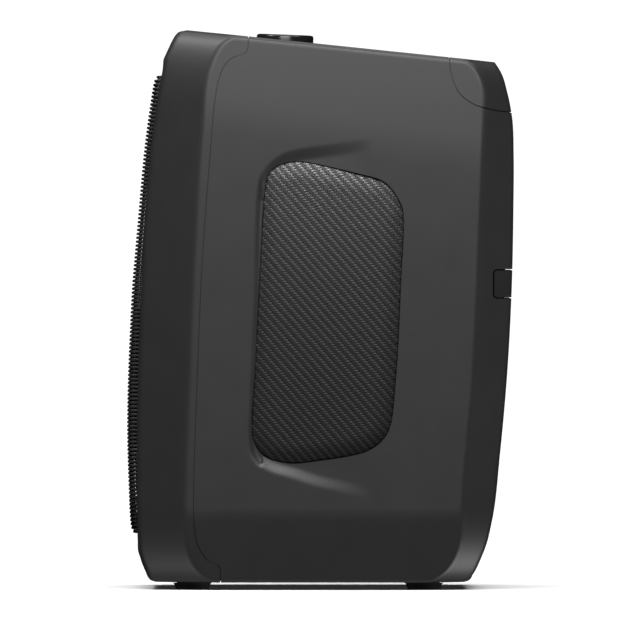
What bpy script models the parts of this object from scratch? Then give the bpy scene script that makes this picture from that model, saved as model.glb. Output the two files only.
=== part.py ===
"""Ceramic space heater: a free-standing fan heater with a domed front grille, a lift-off rear
filter cover and a rotary knob on top. Metres, +Z up, the front faces -Y."""

import math

import bmesh
import bpy
import numpy as np

MM = 0.001

# Driving dimensions, in millimetres. The outlines are (depth y, height z) at the middle of the body.
SIDE = 98.8  # half-width of the flat sides
PAD_CROWN = 100.0  # half-width over the side pads
WALL = 3.0
GAP = 0.35  # between pieces that meet
UNDERSIDE = 3.8  # the body stands this high on its feet
TOP_FRONT = (-62.3, 262.2)
TOP_SLOPE = 0.1041  # the top falls towards the rear

FRONT_FACE = [(3.8, -77.3), (9.5, -82.8), (16, -85.2), (24, -85.8), (80, -85.8), (125, -84.6),
              (170, -82.3), (208, -79.4), (236, -75.6), (248.5, -73.6), (255.2, -70.9), (262.2, -62.3)]
REAR_FACE = [(3.8, 69.9), (10.1, 73.6), (20, 77.5), (32.6, 80.6), (63.6, 84.3), (103, 87.8),
             (141, 89.8), (180, 90.6), (204, 90.7), (221, 90.0), (233, 87.7), (242.5, 84.7), (247.2, 81.8)]
FRONT_CREASE = [(3.8, -63.7), (42, -63.5), (98, -61.6), (155, -59.3), (206, -56.2), (223, -54.4),
                (262, -51.2)]
REAR_CREASE = [(3.8, 65.5), (42, 66.8), (98, 71.5), (155, 74.1), (206, 75.7), (250, 75.7)]
SEAM = [(-34.1, 275), (-34.1, 253), (-38, 250.4), (-43.8, 247), (-46.8, 241.6), (-49.4, 229.4),
        (-51.5, 206), (-55.3, 155), (-58.1, 89), (-59.3, 51), (-59.3, 32.6), (-56, 18.1),
        (-52.3, 13.5), (-48.5, 12), (-46.9, 10.4), (-46.9, -5)]
CAP_SEAM = [(60.2, 262), (60.2, 250), (61.1, 241.6), (63.8, 234), (67.4, 229.8), (71.9, 227),
            (76.1, 225.6), (82.7, 223.9), (89.3, 223.3), (100, 223.3)]

FRONT_TAPER = 0.73  # how fast the width shrinks in front of the crease
REAR_TAPER = 1.0
FRONT_TOP_CORNER = (13.0, 36.0)  # width and height of the elliptical corner
FRONT_BOTTOM_CORNER = (13.0, 24.0)
REAR_CORNER = (14.0, 20.0)

GRILLE_HALF, GRILLE_LOW, GRILLE_HIGH, GRILLE_ROUND = 75.0, 25.5, 240.0, 22.0
GRILLE_RISE = 4.6

PAD_OUTLINE = [(-26, 187), (-24.2, 195), (-20.5, 198.4), (-15, 200.2), (-8.6, 200.7), (5.8, 197.9),
               (17.8, 195), (26.8, 192.7), (31.6, 190), (35.7, 184.8), (38.5, 179.2), (39.2, 172.6),
               (38.1, 146.8), (35.7, 100.5), (32.7, 76), (28.6, 69.4), (22.6, 65.2), (14.7, 62.8),
               (-0.3, 60.5), (-11.1, 59.2), (-17, 59.6), (-24.1, 61.4), (-29, 65.3), (-31.6, 71.2),
               (-32.1, 79.1), (-31, 97), (-28, 155.8)]
PAD_DEPTH = 2.0

WINDOW_HALF, WINDOW_LOW, WINDOW_HIGH = 66.0, 42.0, 208.0
BAR_LOW, BAR_HIGH, BAR_FRONT, BAR_GROOVE = 137.3, 150.9, 81.4, 0.9

POCKET_HALF, POCKET_FRONT, POCKET_LOW, POCKET_HIGH = 46.0, 68.0, 226.6, 242.4

KNOB_Y, KNOB_RADIUS, KNOB_TILT = -16.8, 13.4, math.radians(2.2)
KNOB_TOP, KNOB_BASE = 260.6, 250.6
WELL_RADIUS = 16.4

PANEL_HALF, PANEL_FRONT, PANEL_REAR = 48.0, -33.4, 16.0

LOUVRE_PITCH, LOUVRE_SLOT = 9.0, 4.4
GLAND = (58.0, 79.5, 27.0)
GLAND_TILT = math.radians(14.0)  # square to the rear face there
SCREW_PLACES = [(-73, 60), (73, 60), (-73, 196), (73, 196)]

DUCT_HALF, DUCT_LOW, DUCT_HIGH, DUCT_FRONT, DUCT_REAR = 72.0, 49.0, 201.0, -66.0, -8.0
ELEMENT_FRONT, ELEMENT_REAR = -50.0, -36.0
CORE_HALF, CORE_LOW, CORE_HIGH = 54.0, 67.0, 183.0
FIN_ROWS, BAR_HEIGHT = 5, 6.0
FIN_FOLDS = 22
FIN_LIFT = 1.1  # half the height of the strip where it is cut upright

FAN_Z, FAN_RADIUS, FAN_FRONT, FAN_BACK = 125.0, 62.0, 0.0, 20.0
SHAFT_RADIUS = 2.5
FOOT_X, FOOT_FRONT_Y, FOOT_REAR_Y = 72.0, -60.2, 48.4
PENDULUM_X, PENDULUM_Y, PENDULUM_PIVOT_Z = -58.0, 12.0, 31.0

for old in list(bpy.data.objects):
    bpy.data.objects.remove(old, do_unlink=True)


# ---- materials -------------------------------------------------------------------------------

def material(name, colour, roughness, metallic=0.0):
    made = bpy.data.materials.new(name)
    made.use_nodes = True
    shader = made.node_tree.nodes["Principled BSDF"]
    shader.inputs["Base Color"].default_value = (*colour, 1.0)
    shader.inputs["Roughness"].default_value = roughness
    shader.inputs["Metallic"].default_value = metallic
    return made


DARK_SHELL = (0.045, 0.045, 0.047)
BLACK = (0.02, 0.02, 0.022)
STEEL = (0.6, 0.6, 0.62)


# ---- mesh helpers ----------------------------------------------------------------------------

def add_object(name, points, faces, look=None):
    """A mesh object from points in millimetres. Without a look it is a hidden cutter."""
    mesh = bpy.data.meshes.new(name)
    mesh.from_pydata([(x * MM, y * MM, z * MM) for x, y, z in points], [], faces)
    shape = bmesh.new()
    shape.from_mesh(mesh)
    bmesh.ops.recalc_face_normals(shape, faces=shape.faces)
    if shape.calc_volume(signed=True) < 0:
        bmesh.ops.reverse_faces(shape, faces=shape.faces)
    shape.to_mesh(mesh)
    shape.free()
    made = bpy.data.objects.new(name, mesh)
    bpy.context.collection.objects.link(made)
    if look is None:
        made.hide_render = True
        made.display_type = "WIRE"
    else:
        mesh.materials.append(material(name, *look))
    return made


def boolean(target, other, operation="DIFFERENCE"):
    step = target.modifiers.new(operation.title() + " " + other.name, "BOOLEAN")
    step.operation = operation
    step.solver = "EXACT"
    step.object = other


def box(name, low, high, look=None):
    corners = [(x, y, z) for x in (low[0], high[0]) for y in (low[1], high[1]) for z in (low[2], high[2])]
    faces = [(0, 1, 3, 2), (4, 6, 7, 5), (0, 4, 5, 1), (2, 3, 7, 6), (0, 2, 6, 4), (1, 5, 7, 3)]
    return add_object(name, corners, faces, look)


def boxes(name, spans, look=None):
    """Several boxes in one mesh: a cutter, or parts that a union joins."""
    points = []
    faces = []
    for low, high in spans:
        first = len(points)
        points += [(x, y, z) for x in (low[0], high[0]) for y in (low[1], high[1]) for z in (low[2], high[2])]
        faces += [tuple(first + i for i in face) for face in
                  ((0, 1, 3, 2), (4, 6, 7, 5), (0, 4, 5, 1), (2, 3, 7, 6), (0, 2, 6, 4), (1, 5, 7, 3))]
    return add_object(name, points, faces, look)


def extruded(name, outline, along, low, high, look=None):
    """A closed outline swept along one axis. It holds the other two coordinates, in X, Y, Z order."""
    def point(pair, value):
        coordinates = list(pair)
        coordinates.insert("XYZ".index(along), value)
        return tuple(coordinates)
    count = len(outline)
    points = [point(pair, low) for pair in outline] + [point(pair, high) for pair in outline]
    faces = [tuple(range(count)), tuple(range(2 * count - 1, count - 1, -1))]
    faces += [(i, (i + 1) % count, count + (i + 1) % count, count + i) for i in range(count)]
    return add_object(name, points, faces, look)


def stacked(name, rings, look=None, close=False):
    """Rings of equal length joined one after the other, with an end face on each, or closed into a torus."""
    count = len(rings[0])
    points = [point for ring in rings for point in ring]
    joins = len(rings) if close else len(rings) - 1
    faces = [(a * count + i, a * count + (i + 1) % count,
              (a + 1) % len(rings) * count + (i + 1) % count, (a + 1) % len(rings) * count + i)
             for a in range(joins) for i in range(count)]
    if not close:
        faces += [tuple(range(count)), tuple(range(len(points) - 1, len(points) - count - 1, -1))]
    return add_object(name, points, faces, look)


def turned(name, profile, look=None, centre=(0, 0, 0), axis="Z", steps=32, tilt=0.0, bored=False):
    """A profile of (radius, along) turned about an axis. A bored profile closes on itself round a hole."""
    rings = []
    for radius, along in profile:
        ring = []
        for i in range(steps):
            angle = 2 * math.pi * i / steps
            a, b = radius * math.cos(angle), radius * math.sin(angle)
            x, y, z = {"Z": (a, b, along), "Y": (a, along, b), "X": (along, a, b)}[axis]
            y, z = y * math.cos(tilt) + z * math.sin(tilt), z * math.cos(tilt) - y * math.sin(tilt)
            ring.append((centre[0] + x, centre[1] + y, centre[2] + z))
        rings.append(ring)
    made = stacked(name, rings, look, close=bored)
    if look is not None:
        made.data.shade_smooth()
        made.data.set_sharp_from_angle(angle=math.radians(40))
    return made


def rounded_rectangle(half, low, high, radius, steps=5):
    """Corners as arcs, as (x, z) pairs, symmetric about x = 0, from the lower right corner round."""
    pairs = []
    for x, z, start in ((half - radius, low + radius, -90), (half - radius, high - radius, 0),
                        (radius - half, high - radius, 90), (radius - half, low + radius, 180)):
        for i in range(steps + 1):
            angle = math.radians(start + 90 * i / steps)
            pairs.append((x + radius * math.cos(angle), z + radius * math.sin(angle)))
    return pairs


# ---- the outer form --------------------------------------------------------------------------

def smooth(table, at):
    """A smooth curve through (position, value) pairs."""
    where, value = np.array(table, float).T
    slope = np.gradient(value, where)
    i = int(np.clip(np.searchsorted(where, at) - 1, 0, len(where) - 2))
    step = where[i + 1] - where[i]
    t = float(np.clip((at - where[i]) / step, 0, 1))
    return float((1 + 2 * t) * (1 - t) ** 2 * value[i] + t * (1 - t) ** 2 * step * slope[i]
                 + t * t * (3 - 2 * t) * value[i + 1] + t * t * (t - 1) * step * slope[i + 1])


def top_at(y):
    return TOP_FRONT[1] - TOP_SLOPE * (y - TOP_FRONT[0])


def corner_drop(reach, corner):
    """How far an elliptical corner draws in, at a reach of 0 to 1 up its height."""
    return corner[0] * (1 - math.sqrt(1 - min(max(reach, 0), 1) ** 2))


def half_width(y, z):
    above = z - top_at(y)
    below = UNDERSIDE - z
    front = SIDE + FRONT_TAPER * (y - smooth(FRONT_CREASE, z))
    front -= corner_drop(1 + above / FRONT_TOP_CORNER[1], FRONT_TOP_CORNER)
    front -= corner_drop(1 + below / FRONT_BOTTOM_CORNER[1], FRONT_BOTTOM_CORNER)
    rear = SIDE + REAR_TAPER * (smooth(REAR_CREASE, z) - y)
    rear -= corner_drop(1 + above / REAR_CORNER[1], REAR_CORNER)
    rear -= corner_drop(1 + below / REAR_CORNER[1], REAR_CORNER)
    return min(SIDE, front, rear)


def on_line(table, shift, v, inset):
    """The point of a depth curve at the fraction v between the underside and the sloping top."""
    low = UNDERSIDE + inset
    z = low
    for _ in range(6):
        y = smooth(table, z) + shift
        z = low + v * (top_at(y) - inset - low)
    return y, z


def body_solid(name, inset, rows=16, strips=(4, 7, 4)):
    """The whole outer form, drawn in by an inset, as one closed solid."""
    grid = []
    for row in range(rows + 1):
        v = 0.5 - 0.5 * math.cos(math.pi * row / rows)
        lines = [on_line(FRONT_FACE, inset, v, inset), on_line(FRONT_CREASE, 0, v, inset),
                 on_line(REAR_CREASE, 0, v, inset), on_line(REAR_FACE, -inset, v, inset)]
        line = [lines[0]]
        for (y0, z0), (y1, z1), steps in zip(lines, lines[1:], strips):
            line += [(y0 + (y1 - y0) * i / steps, z0 + (z1 - z0) * i / steps) for i in range(1, steps + 1)]
        grid.append(line)
    columns = len(grid[0])
    points = []
    for side in (1, -1):
        points += [(side * (half_width(y, z) - inset), y, z) for line in grid for y, z in line]
    left = len(points) // 2
    faces = []
    for row in range(rows):
        for column in range(columns - 1):
            a = row * columns + column
            quad = (a, a + 1, a + columns + 1, a + columns)
            faces += [quad, tuple(left + i for i in reversed(quad))]
    edge = [(0, i) for i in range(columns - 1)] + [(i, columns - 1) for i in range(rows)]
    edge += [(rows, i) for i in range(columns - 1, 0, -1)] + [(i, 0) for i in range(rows, 0, -1)]
    edge = [row * columns + column for row, column in edge]
    for a, b in zip(edge, edge[1:] + edge[:1]):
        faces.append((b, a, left + a, left + b))
    return add_object(name, points, faces)


def shell_piece(name, look, keep, inner):
    """The part of the outer form inside a region, hollowed by the inner form."""
    made = body_solid(name, 0.0)
    made.data.materials.append(material(name, *look))
    made.hide_render = False
    made.display_type = "TEXTURED"
    boolean(made, keep, "INTERSECT")
    boolean(made, inner)
    return made


REACH = 130.0  # beyond the body on each side
OUTER_FRONT, OUTER_REAR = -120.0, 120.0


def shifted(outline, dy=0.0, dz=0.0):
    return [(y + dy, z + dz) for y, z in outline]


# ---- casing ----------------------------------------------------------------------------------

def build_casing():
    inner = body_solid("inner form", WALL)
    front_region = extruded("front region", shifted(SEAM) + [(OUTER_FRONT, -5), (OUTER_FRONT, 275)],
                            "X", -REACH, REACH)
    main_region = extruded("main region", shifted(SEAM, GAP) + [(OUTER_REAR, -5), (OUTER_REAR, 275)],
                           "X", -REACH, REACH)
    cap_region = extruded("cap region", shifted(CAP_SEAM, GAP, GAP) + [(OUTER_REAR, 275), (60.2 + GAP, 275)],
                          "X", -REACH, REACH)
    cap_room = extruded("cap room", CAP_SEAM + [(OUTER_REAR, 223.3), (OUTER_REAR, 276), (60.2, 276)],
                        "X", -REACH - 1, REACH + 1)

    frame = shell_piece("front_frame", (DARK_SHELL, 0.5), front_region, inner)
    opening = rounded_rectangle(GRILLE_HALF + GAP, GRILLE_LOW - GAP, GRILLE_HIGH + GAP, GRILLE_ROUND)
    boolean(frame, extruded("grille opening", opening, "Y", OUTER_FRONT, -66.0))

    shell = shell_piece("main_shell", (DARK_SHELL, 0.5), main_region, inner)
    boolean(shell, cap_room)
    boolean(shell, box("rear window", (-WINDOW_HALF, 60, WINDOW_LOW), (WINDOW_HALF, 110, WINDOW_HIGH)))
    boolean(shell, box("bar groove", (-REACH, BAR_FRONT - BAR_GROOVE, BAR_LOW - BAR_GROOVE),
                       (REACH, 110, BAR_HIGH + BAR_GROOVE)))
    for side in (1, -1):
        low, high = sorted((side * (SIDE - PAD_DEPTH), side * 110))
        boolean(shell, extruded("pad pocket %d" % side, PAD_OUTLINE, "X", low, high))
    boolean(shell, box("panel opening", (-PANEL_HALF - GAP, PANEL_FRONT - GAP, 240),
                       (PANEL_HALF + GAP, PANEL_REAR + GAP, 275)))
    for x in (-FOOT_X, FOOT_X):
        boolean(shell, turned("rear foot hole %d" % x, [(4.3, -2), (4.3, 12)], centre=(x, FOOT_REAR_Y, 0)))
        boolean(frame, turned("front foot hole %d" % x, [(4.3, -2), (4.3, 12)], centre=(x, FOOT_FRONT_Y, 0)))
    for x, z in SCREW_PLACES:
        y = smooth(REAR_FACE, z)
        hole = [(1.9, -9), (1.9, -1.5), (3.7, -1.5), (3.7, 6)]
        boolean(shell, turned("screw hole %d %d" % (x, z), hole, centre=(x, y, z), axis="Y", steps=16))
    boolean(shell, turned("gland hole", [(5.4, -12), (5.4, 8)], centre=GLAND, axis="Y", steps=20,
                          tilt=GLAND_TILT))

    cap = shell_piece("rear_handle_cap", (DARK_SHELL, 0.5), cap_region, inner)
    walls = box("pocket walls", (-POCKET_HALF - 2, POCKET_FRONT - 2, POCKET_LOW - 2),
                (POCKET_HALF + 2, 110, POCKET_HIGH + 2))
    boolean(walls, body_solid("outer form", 0.0), "INTERSECT")
    boolean(cap, walls, "UNION")
    boolean(cap, box("pocket room", (-POCKET_HALF, POCKET_FRONT, POCKET_LOW),
                     (POCKET_HALF, 110, POCKET_HIGH)))


# ---- front grille ----------------------------------------------------------------------------

def face_ring(half, low, high, radius, offset):
    """A rounded rectangle laid on the curved front face, offset in depth."""
    return [(x, smooth(FRONT_FACE, z) + offset, z) for x, z in rounded_rectangle(half, low, high, radius)]


def build_grille():
    """A domed sheet: a skirt in the frame's opening, a rounded edge and a front that follows the face."""
    sections = [(0.0, 4.0), (0.0, 0.0), (0.8, -GRILLE_RISE * 0.62), (3.0, -GRILLE_RISE * 0.92),
                (6.5, -GRILLE_RISE)]
    thick = 1.6
    count = len(face_ring(GRILLE_HALF, GRILLE_LOW, GRILLE_HIGH, GRILLE_ROUND, 0))
    rings = []
    for inset, offset in sections:
        rings.append(face_ring(GRILLE_HALF - inset, GRILLE_LOW + inset, GRILLE_HIGH - inset,
                               GRILLE_ROUND - inset, offset))
    for inset, offset in reversed(sections):
        rings.append(face_ring(GRILLE_HALF - inset - thick, GRILLE_LOW + inset + thick,
                               GRILLE_HIGH - inset - thick, GRILLE_ROUND - inset - thick,
                               offset + (thick if inset else 0)))
    points = [point for ring in rings for point in ring]
    faces = []
    for a in range(len(rings)):
        if a == len(sections) - 1:
            continue
        b = (a + 1) % len(rings)
        faces += [(a * count + i, a * count + (i + 1) % count, b * count + (i + 1) % count, b * count + i)
                  for i in range(count)]
    for a in (len(sections) - 1, len(sections)):
        first = a * count
        faces += [(first + i, first + i + 1, first + count - 2 - i, first + count - 1 - i)
                  for i in range(count // 2 - 1)]
    add_object("front_grille", points, faces, (BLACK, 0.45))

    outer = rounded_rectangle(GRILLE_HALF + 2.5, GRILLE_LOW - 2.5, GRILLE_HIGH + 2.0, GRILLE_ROUND)
    inner = rounded_rectangle(GRILLE_HALF - 5.5, GRILLE_LOW + 5.5, GRILLE_HIGH - 5.5, GRILLE_ROUND - 6)
    rings = []
    for outline, offset in ((outer, 4.4), (outer, 6.4), (inner, 6.4), (inner, 4.4)):
        rings.append([(x, smooth(FRONT_FACE, z) + offset, z) for x, z in outline])
    stacked("grille_retainer", rings, (BLACK, 0.6), close=True)


# ---- rear filter cover -----------------------------------------------------------------------

def rear_slab(name, half, low, high, front, back, look=None, steps=12):
    """A slab that follows the curved rear face, between two depths behind it."""
    heights = [low + (high - low) * i / steps for i in range(steps + 1)]
    outline = [(smooth(REAR_FACE, z) + front, z) for z in heights]
    outline += [(smooth(REAR_FACE, z) + back, z) for z in reversed(heights)]
    return extruded(name, outline, "X", -half, half, look)


def build_filter():
    cover = rear_slab("filter_cover", WINDOW_HALF - GAP, WINDOW_LOW + GAP, WINDOW_HIGH - GAP, -2.6, 0.0,
                      (DARK_SHELL, 0.5))
    boolean(cover, box("bar channel", (-REACH, 60, BAR_LOW - BAR_GROOVE),
                       (REACH, 110, BAR_HIGH + BAR_GROOVE)))
    backing = rear_slab("bar backing", WINDOW_HALF - GAP, BAR_LOW - 6, BAR_HIGH + 6, -6.0, -WALL - GAP,
                        steps=2)
    boolean(cover, backing, "UNION")
    webs = [((-64, 85, BAR_LOW - 5.5), (64, 88, BAR_LOW - 1.2)),
            ((-64, 85, BAR_HIGH + 1.2), (64, 88, BAR_HIGH + 5.5))]
    boolean(cover, boxes("backing webs", webs), "UNION")
    slots = []
    for low, high in ((50.0, 131.0), (157.0, 204.0)):
        for i in range(int((high - low) / LOUVRE_PITCH)):
            z = low + i * LOUVRE_PITCH
            slots += [((x0, 70, z), (x1, 110, z + LOUVRE_SLOT)) for x0, x1 in ((-60, -2.5), (2.5, 60))]
    boolean(cover, boxes("louvre slots", slots))

    shell_piece("filter_grip_bar", (BLACK, 0.45),
                box("bar region", (-REACH, BAR_FRONT, BAR_LOW), (REACH, 110, BAR_HIGH)),
                body_solid("bar hollow", WALL - 0.3))
    rear_slab("filter_mesh", 61.0, 46.0, 204.0, -9.0, -6.5, (BLACK, 0.9), steps=6)


# ---- side pads -------------------------------------------------------------------------------

def build_pads():
    """A shallow crowned cushion in a pocket of each side."""
    middle = (3.5, 130.0)
    for name, side in (("side_pad_left", -1), ("side_pad_right", 1)):
        rings = []
        for scale, x in ((0.99, SIDE - PAD_DEPTH + GAP), (0.99, SIDE + 0.1), (0.93, PAD_CROWN - 0.35),
                         (0.75, PAD_CROWN)):
            rings.append([(side * x, middle[0] + (y - middle[0]) * scale, middle[1] + (z - middle[1]) * scale)
                          for y, z in PAD_OUTLINE])
        stacked(name, rings, (BLACK, 0.55))


# ---- controls --------------------------------------------------------------------------------

def tilted(x, along, across=0.0):
    """A point on the knob's tilted axis: across is to the rear, along is up from the knob's base."""
    base_z = KNOB_BASE
    y = KNOB_Y + across * math.cos(KNOB_TILT) + along * math.sin(KNOB_TILT)
    return x, y, base_z + along * math.cos(KNOB_TILT) - across * math.sin(KNOB_TILT)


def build_controls():
    outline = [(PANEL_FRONT, top_at(PANEL_FRONT) - WALL), (PANEL_REAR, top_at(PANEL_REAR) - WALL),
               (PANEL_REAR, top_at(PANEL_REAR)), (PANEL_FRONT, top_at(PANEL_FRONT))]
    panel = extruded("control_panel", outline, "X", -PANEL_HALF, PANEL_HALF, (BLACK, 0.3))
    knob_foot = tilted(0, 0)
    boolean(panel, turned("well wall", [(WELL_RADIUS + 0.5, -2.8), (WELL_RADIUS + 0.5, 5.4)],
                          centre=knob_foot, tilt=KNOB_TILT, steps=36), "UNION")
    boolean(panel, turned("well room", [(WELL_RADIUS - 0.9, -0.8), (WELL_RADIUS - 0.9, 16)],
                          centre=knob_foot, tilt=KNOB_TILT, steps=36))
    boolean(panel, turned("shaft hole", [(3.4, -8), (3.4, 4)], centre=knob_foot, tilt=KNOB_TILT, steps=20))
    lens_place = (0, 8.0, top_at(8.0))
    boolean(panel, turned("lens hole", [(2.6, -8), (2.6, 4)], centre=lens_place, steps=20))
    turned("indicator_lens", [(2.2, -5), (2.2, -0.2), (1.5, 0.1)], ((0.8, 0.25, 0.1), 0.15),
           centre=lens_place, steps=20)

    knob = turned("control_knob", [(KNOB_RADIUS + 0.9, 0.0), (KNOB_RADIUS + 0.9, 1.6), (KNOB_RADIUS, 2.6),
                                   (KNOB_RADIUS, KNOB_TOP - KNOB_BASE - 0.9),
                                   (KNOB_RADIUS - 0.9, KNOB_TOP - KNOB_BASE)],
                  (BLACK, 0.2), centre=knob_foot, tilt=KNOB_TILT, steps=40)
    boolean(knob, turned("knob bore", [(2.9, -2), (2.9, 5.5)], centre=knob_foot, tilt=KNOB_TILT, steps=16))
    boolean(knob, box("pointer groove", (-0.7, KNOB_Y - KNOB_RADIUS - 2, KNOB_TOP - 0.5),
                      (0.7, KNOB_Y - 4, KNOB_TOP + 4)))
    turned("switch_shaft", [(2.5, -12), (2.5, 5.1)], (STEEL, 0.3, 1.0), centre=knob_foot, tilt=KNOB_TILT,
           steps=16)
    switch = box("rotary_switch_body", (-12, KNOB_Y - 12.5, 229), (12, KNOB_Y + 11.5, 246.6),
                 ((0.3, 0.3, 0.3), 0.6))
    boolean(switch, turned("switch bore", [(2.9, -13), (2.9, 4)], centre=knob_foot, tilt=KNOB_TILT, steps=16))
    box("control_board", (-42, 2, 224), (42, 52, 225.6), ((0.03, 0.16, 0.07), 0.5))
    box("power_relay", (12, 16, 225.9), (31, 32, 240.5), ((0.04, 0.06, 0.12), 0.5))


# ---- heating element and air path ------------------------------------------------------------

def square_ring(name, half, low, high, wall, front, rear, look):
    rings = []
    for inset, y in ((0, front), (0, rear), (wall, rear), (wall, front)):
        rings.append([(-half + inset, y, low + inset), (half - inset, y, low + inset),
                      (half - inset, y, high - inset), (-half + inset, y, high - inset)])
    return stacked(name, rings, look, close=True)


def build_element():
    square_ring("air_duct", DUCT_HALF, DUCT_LOW, DUCT_HIGH, 2.0, DUCT_FRONT, DUCT_REAR,
                ((0.05, 0.05, 0.05), 0.6))
    square_ring("element_frame", DUCT_HALF - 2 - GAP, DUCT_LOW + 2 + GAP, DUCT_HIGH - 2 - GAP,
                DUCT_HALF - 2 - GAP - CORE_HALF, ELEMENT_FRONT - 2, ELEMENT_REAR + 2,
                ((0.35, 0.3, 0.22), 0.7))
    bars = FIN_ROWS - 1
    room = CORE_HIGH - CORE_LOW - 2 * GAP
    fin_height = (room - bars * BAR_HEIGHT - 2 * bars * GAP) / FIN_ROWS
    z = CORE_LOW + GAP
    for row in range(FIN_ROWS):
        folds = []
        for i in range(FIN_FOLDS + 1):
            x = -CORE_HALF + 1.6 + (2 * CORE_HALF - 3.2) * i / FIN_FOLDS
            height = z + FIN_LIFT if i % 2 == 0 else z + fin_height - FIN_LIFT
            strip = ((-FIN_LIFT, ELEMENT_FRONT), (FIN_LIFT, ELEMENT_FRONT), (FIN_LIFT, ELEMENT_REAR),
                     (-FIN_LIFT, ELEMENT_REAR))
            folds.append([(x, y, height + lift) for lift, y in strip])
        stacked("heat_fin_%d" % (row + 1), folds, ((0.7, 0.7, 0.7), 0.4, 1.0))
        z += fin_height + GAP
        if row < bars:
            box("ceramic_bar_%d" % (row + 1), (-CORE_HALF + GAP, ELEMENT_FRONT, z),
                (CORE_HALF - GAP, ELEMENT_REAR, z + BAR_HEIGHT), ((0.75, 0.72, 0.66), 0.6))
            z += BAR_HEIGHT + GAP
    turned("thermal_cutoff", [(8.0, 0), (8.0, 4), (5.0, 4), (5.0, 8)], (STEEL, 0.4, 1.0),
           centre=(30, -43, DUCT_HIGH + GAP), steps=20)


def build_fan():
    plate = square_ring("fan_shroud", DUCT_HALF, DUCT_LOW, DUCT_HIGH, 4.0, DUCT_REAR + GAP,
                        DUCT_REAR + GAP + 3, ((0.05, 0.05, 0.05), 0.6))
    boolean(plate, extruded("shroud plate", [(-DUCT_HALF + 2, DUCT_LOW + 2), (DUCT_HALF - 2, DUCT_LOW + 2),
                                             (DUCT_HALF - 2, DUCT_HIGH - 2), (-DUCT_HALF + 2, DUCT_HIGH - 2)],
                            "Y", DUCT_REAR + GAP + 0.5, DUCT_REAR + GAP + 2.5), "UNION")
    boolean(plate, turned("shroud collar", [(67.5, DUCT_REAR + 1), (67.5, 24)], centre=(0, 0, FAN_Z),
                          axis="Y", steps=40), "UNION")
    boolean(plate, turned("shroud bore", [(65, -20), (65, 40)], centre=(0, 0, FAN_Z), axis="Y", steps=40))

    hub = turned("fan_impeller", [(17, FAN_FRONT + 3), (19, FAN_FRONT + 5), (19, FAN_BACK)],
                 ((0.1, 0.1, 0.1), 0.5), centre=(0, 0, FAN_Z), axis="Y", steps=28)
    points = []
    faces = []
    blades, spans, half_thick = 7, 4, 0.9
    for blade in range(blades):
        start = 2 * math.pi * blade / blades
        first = len(points)
        for i in range(spans + 1):
            radius = 17.5 + (FAN_RADIUS - 17.5) * i / spans
            chord = math.radians(38 - 4 * i)
            for edge, y in ((-0.5, FAN_BACK - 1.5), (0.5, FAN_FRONT + 4.5)):
                angle = start + edge * chord
                for side in (-1, 1):
                    turn = side * half_thick / radius
                    points.append((radius * math.cos(angle + turn), y + side * half_thick,
                                   FAN_Z + radius * math.sin(angle + turn)))
        for i in range(spans):
            a = first + 4 * i
            faces += [(a, a + 1, a + 5, a + 4), (a + 2, a + 6, a + 7, a + 3), (a, a + 4, a + 6, a + 2),
                      (a + 1, a + 3, a + 7, a + 5)]
        last = first + 4 * spans
        faces += [(first, first + 2, first + 3, first + 1), (last, last + 1, last + 3, last + 2)]
    boolean(hub, add_object("fan blades", points, faces), "UNION")
    boolean(hub, turned("hub bore", [(SHAFT_RADIUS + GAP, -5), (SHAFT_RADIUS + GAP, 30)],
                        centre=(0, 0, FAN_Z), axis="Y", steps=16))
    turned("motor_shaft", [(SHAFT_RADIUS, FAN_FRONT + 1), (SHAFT_RADIUS, 58)], (STEEL, 0.25, 1.0),
           centre=(0, 0, FAN_Z), axis="Y", steps=16)
    motor = turned("motor_case", [(12, 23), (27, 26), (27, 56), (10, 60)], (STEEL, 0.4, 1.0),
                   centre=(0, 0, FAN_Z), axis="Y", steps=32)
    boolean(motor, turned("motor bore", [(SHAFT_RADIUS + GAP, 15), (SHAFT_RADIUS + GAP, 62)],
                          centre=(0, 0, FAN_Z), axis="Y", steps=16))
    bracket = turned("motor_bracket", [(27 + GAP, 30), (30.5, 30), (30.5, 42), (27 + GAP, 42)],
                     ((0.05, 0.05, 0.05), 0.6), centre=(0, 0, FAN_Z), axis="Y", steps=32, bored=True)
    for i in range(3):
        angle = math.radians(90 + 120 * i)
        across = (-math.sin(angle), math.cos(angle))
        outward = (math.cos(angle), math.sin(angle))
        outline = [(r * outward[0] + w * across[0], FAN_Z + r * outward[1] + w * across[1])
                   for r, w in ((29, -4), (67, -4), (67, 4), (29, 4))]
        boolean(bracket, extruded("motor arm %d" % i, outline, "Y", 24 + GAP, 34), "UNION")


# ---- base, safety switch and cable entry -----------------------------------------------------

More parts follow.
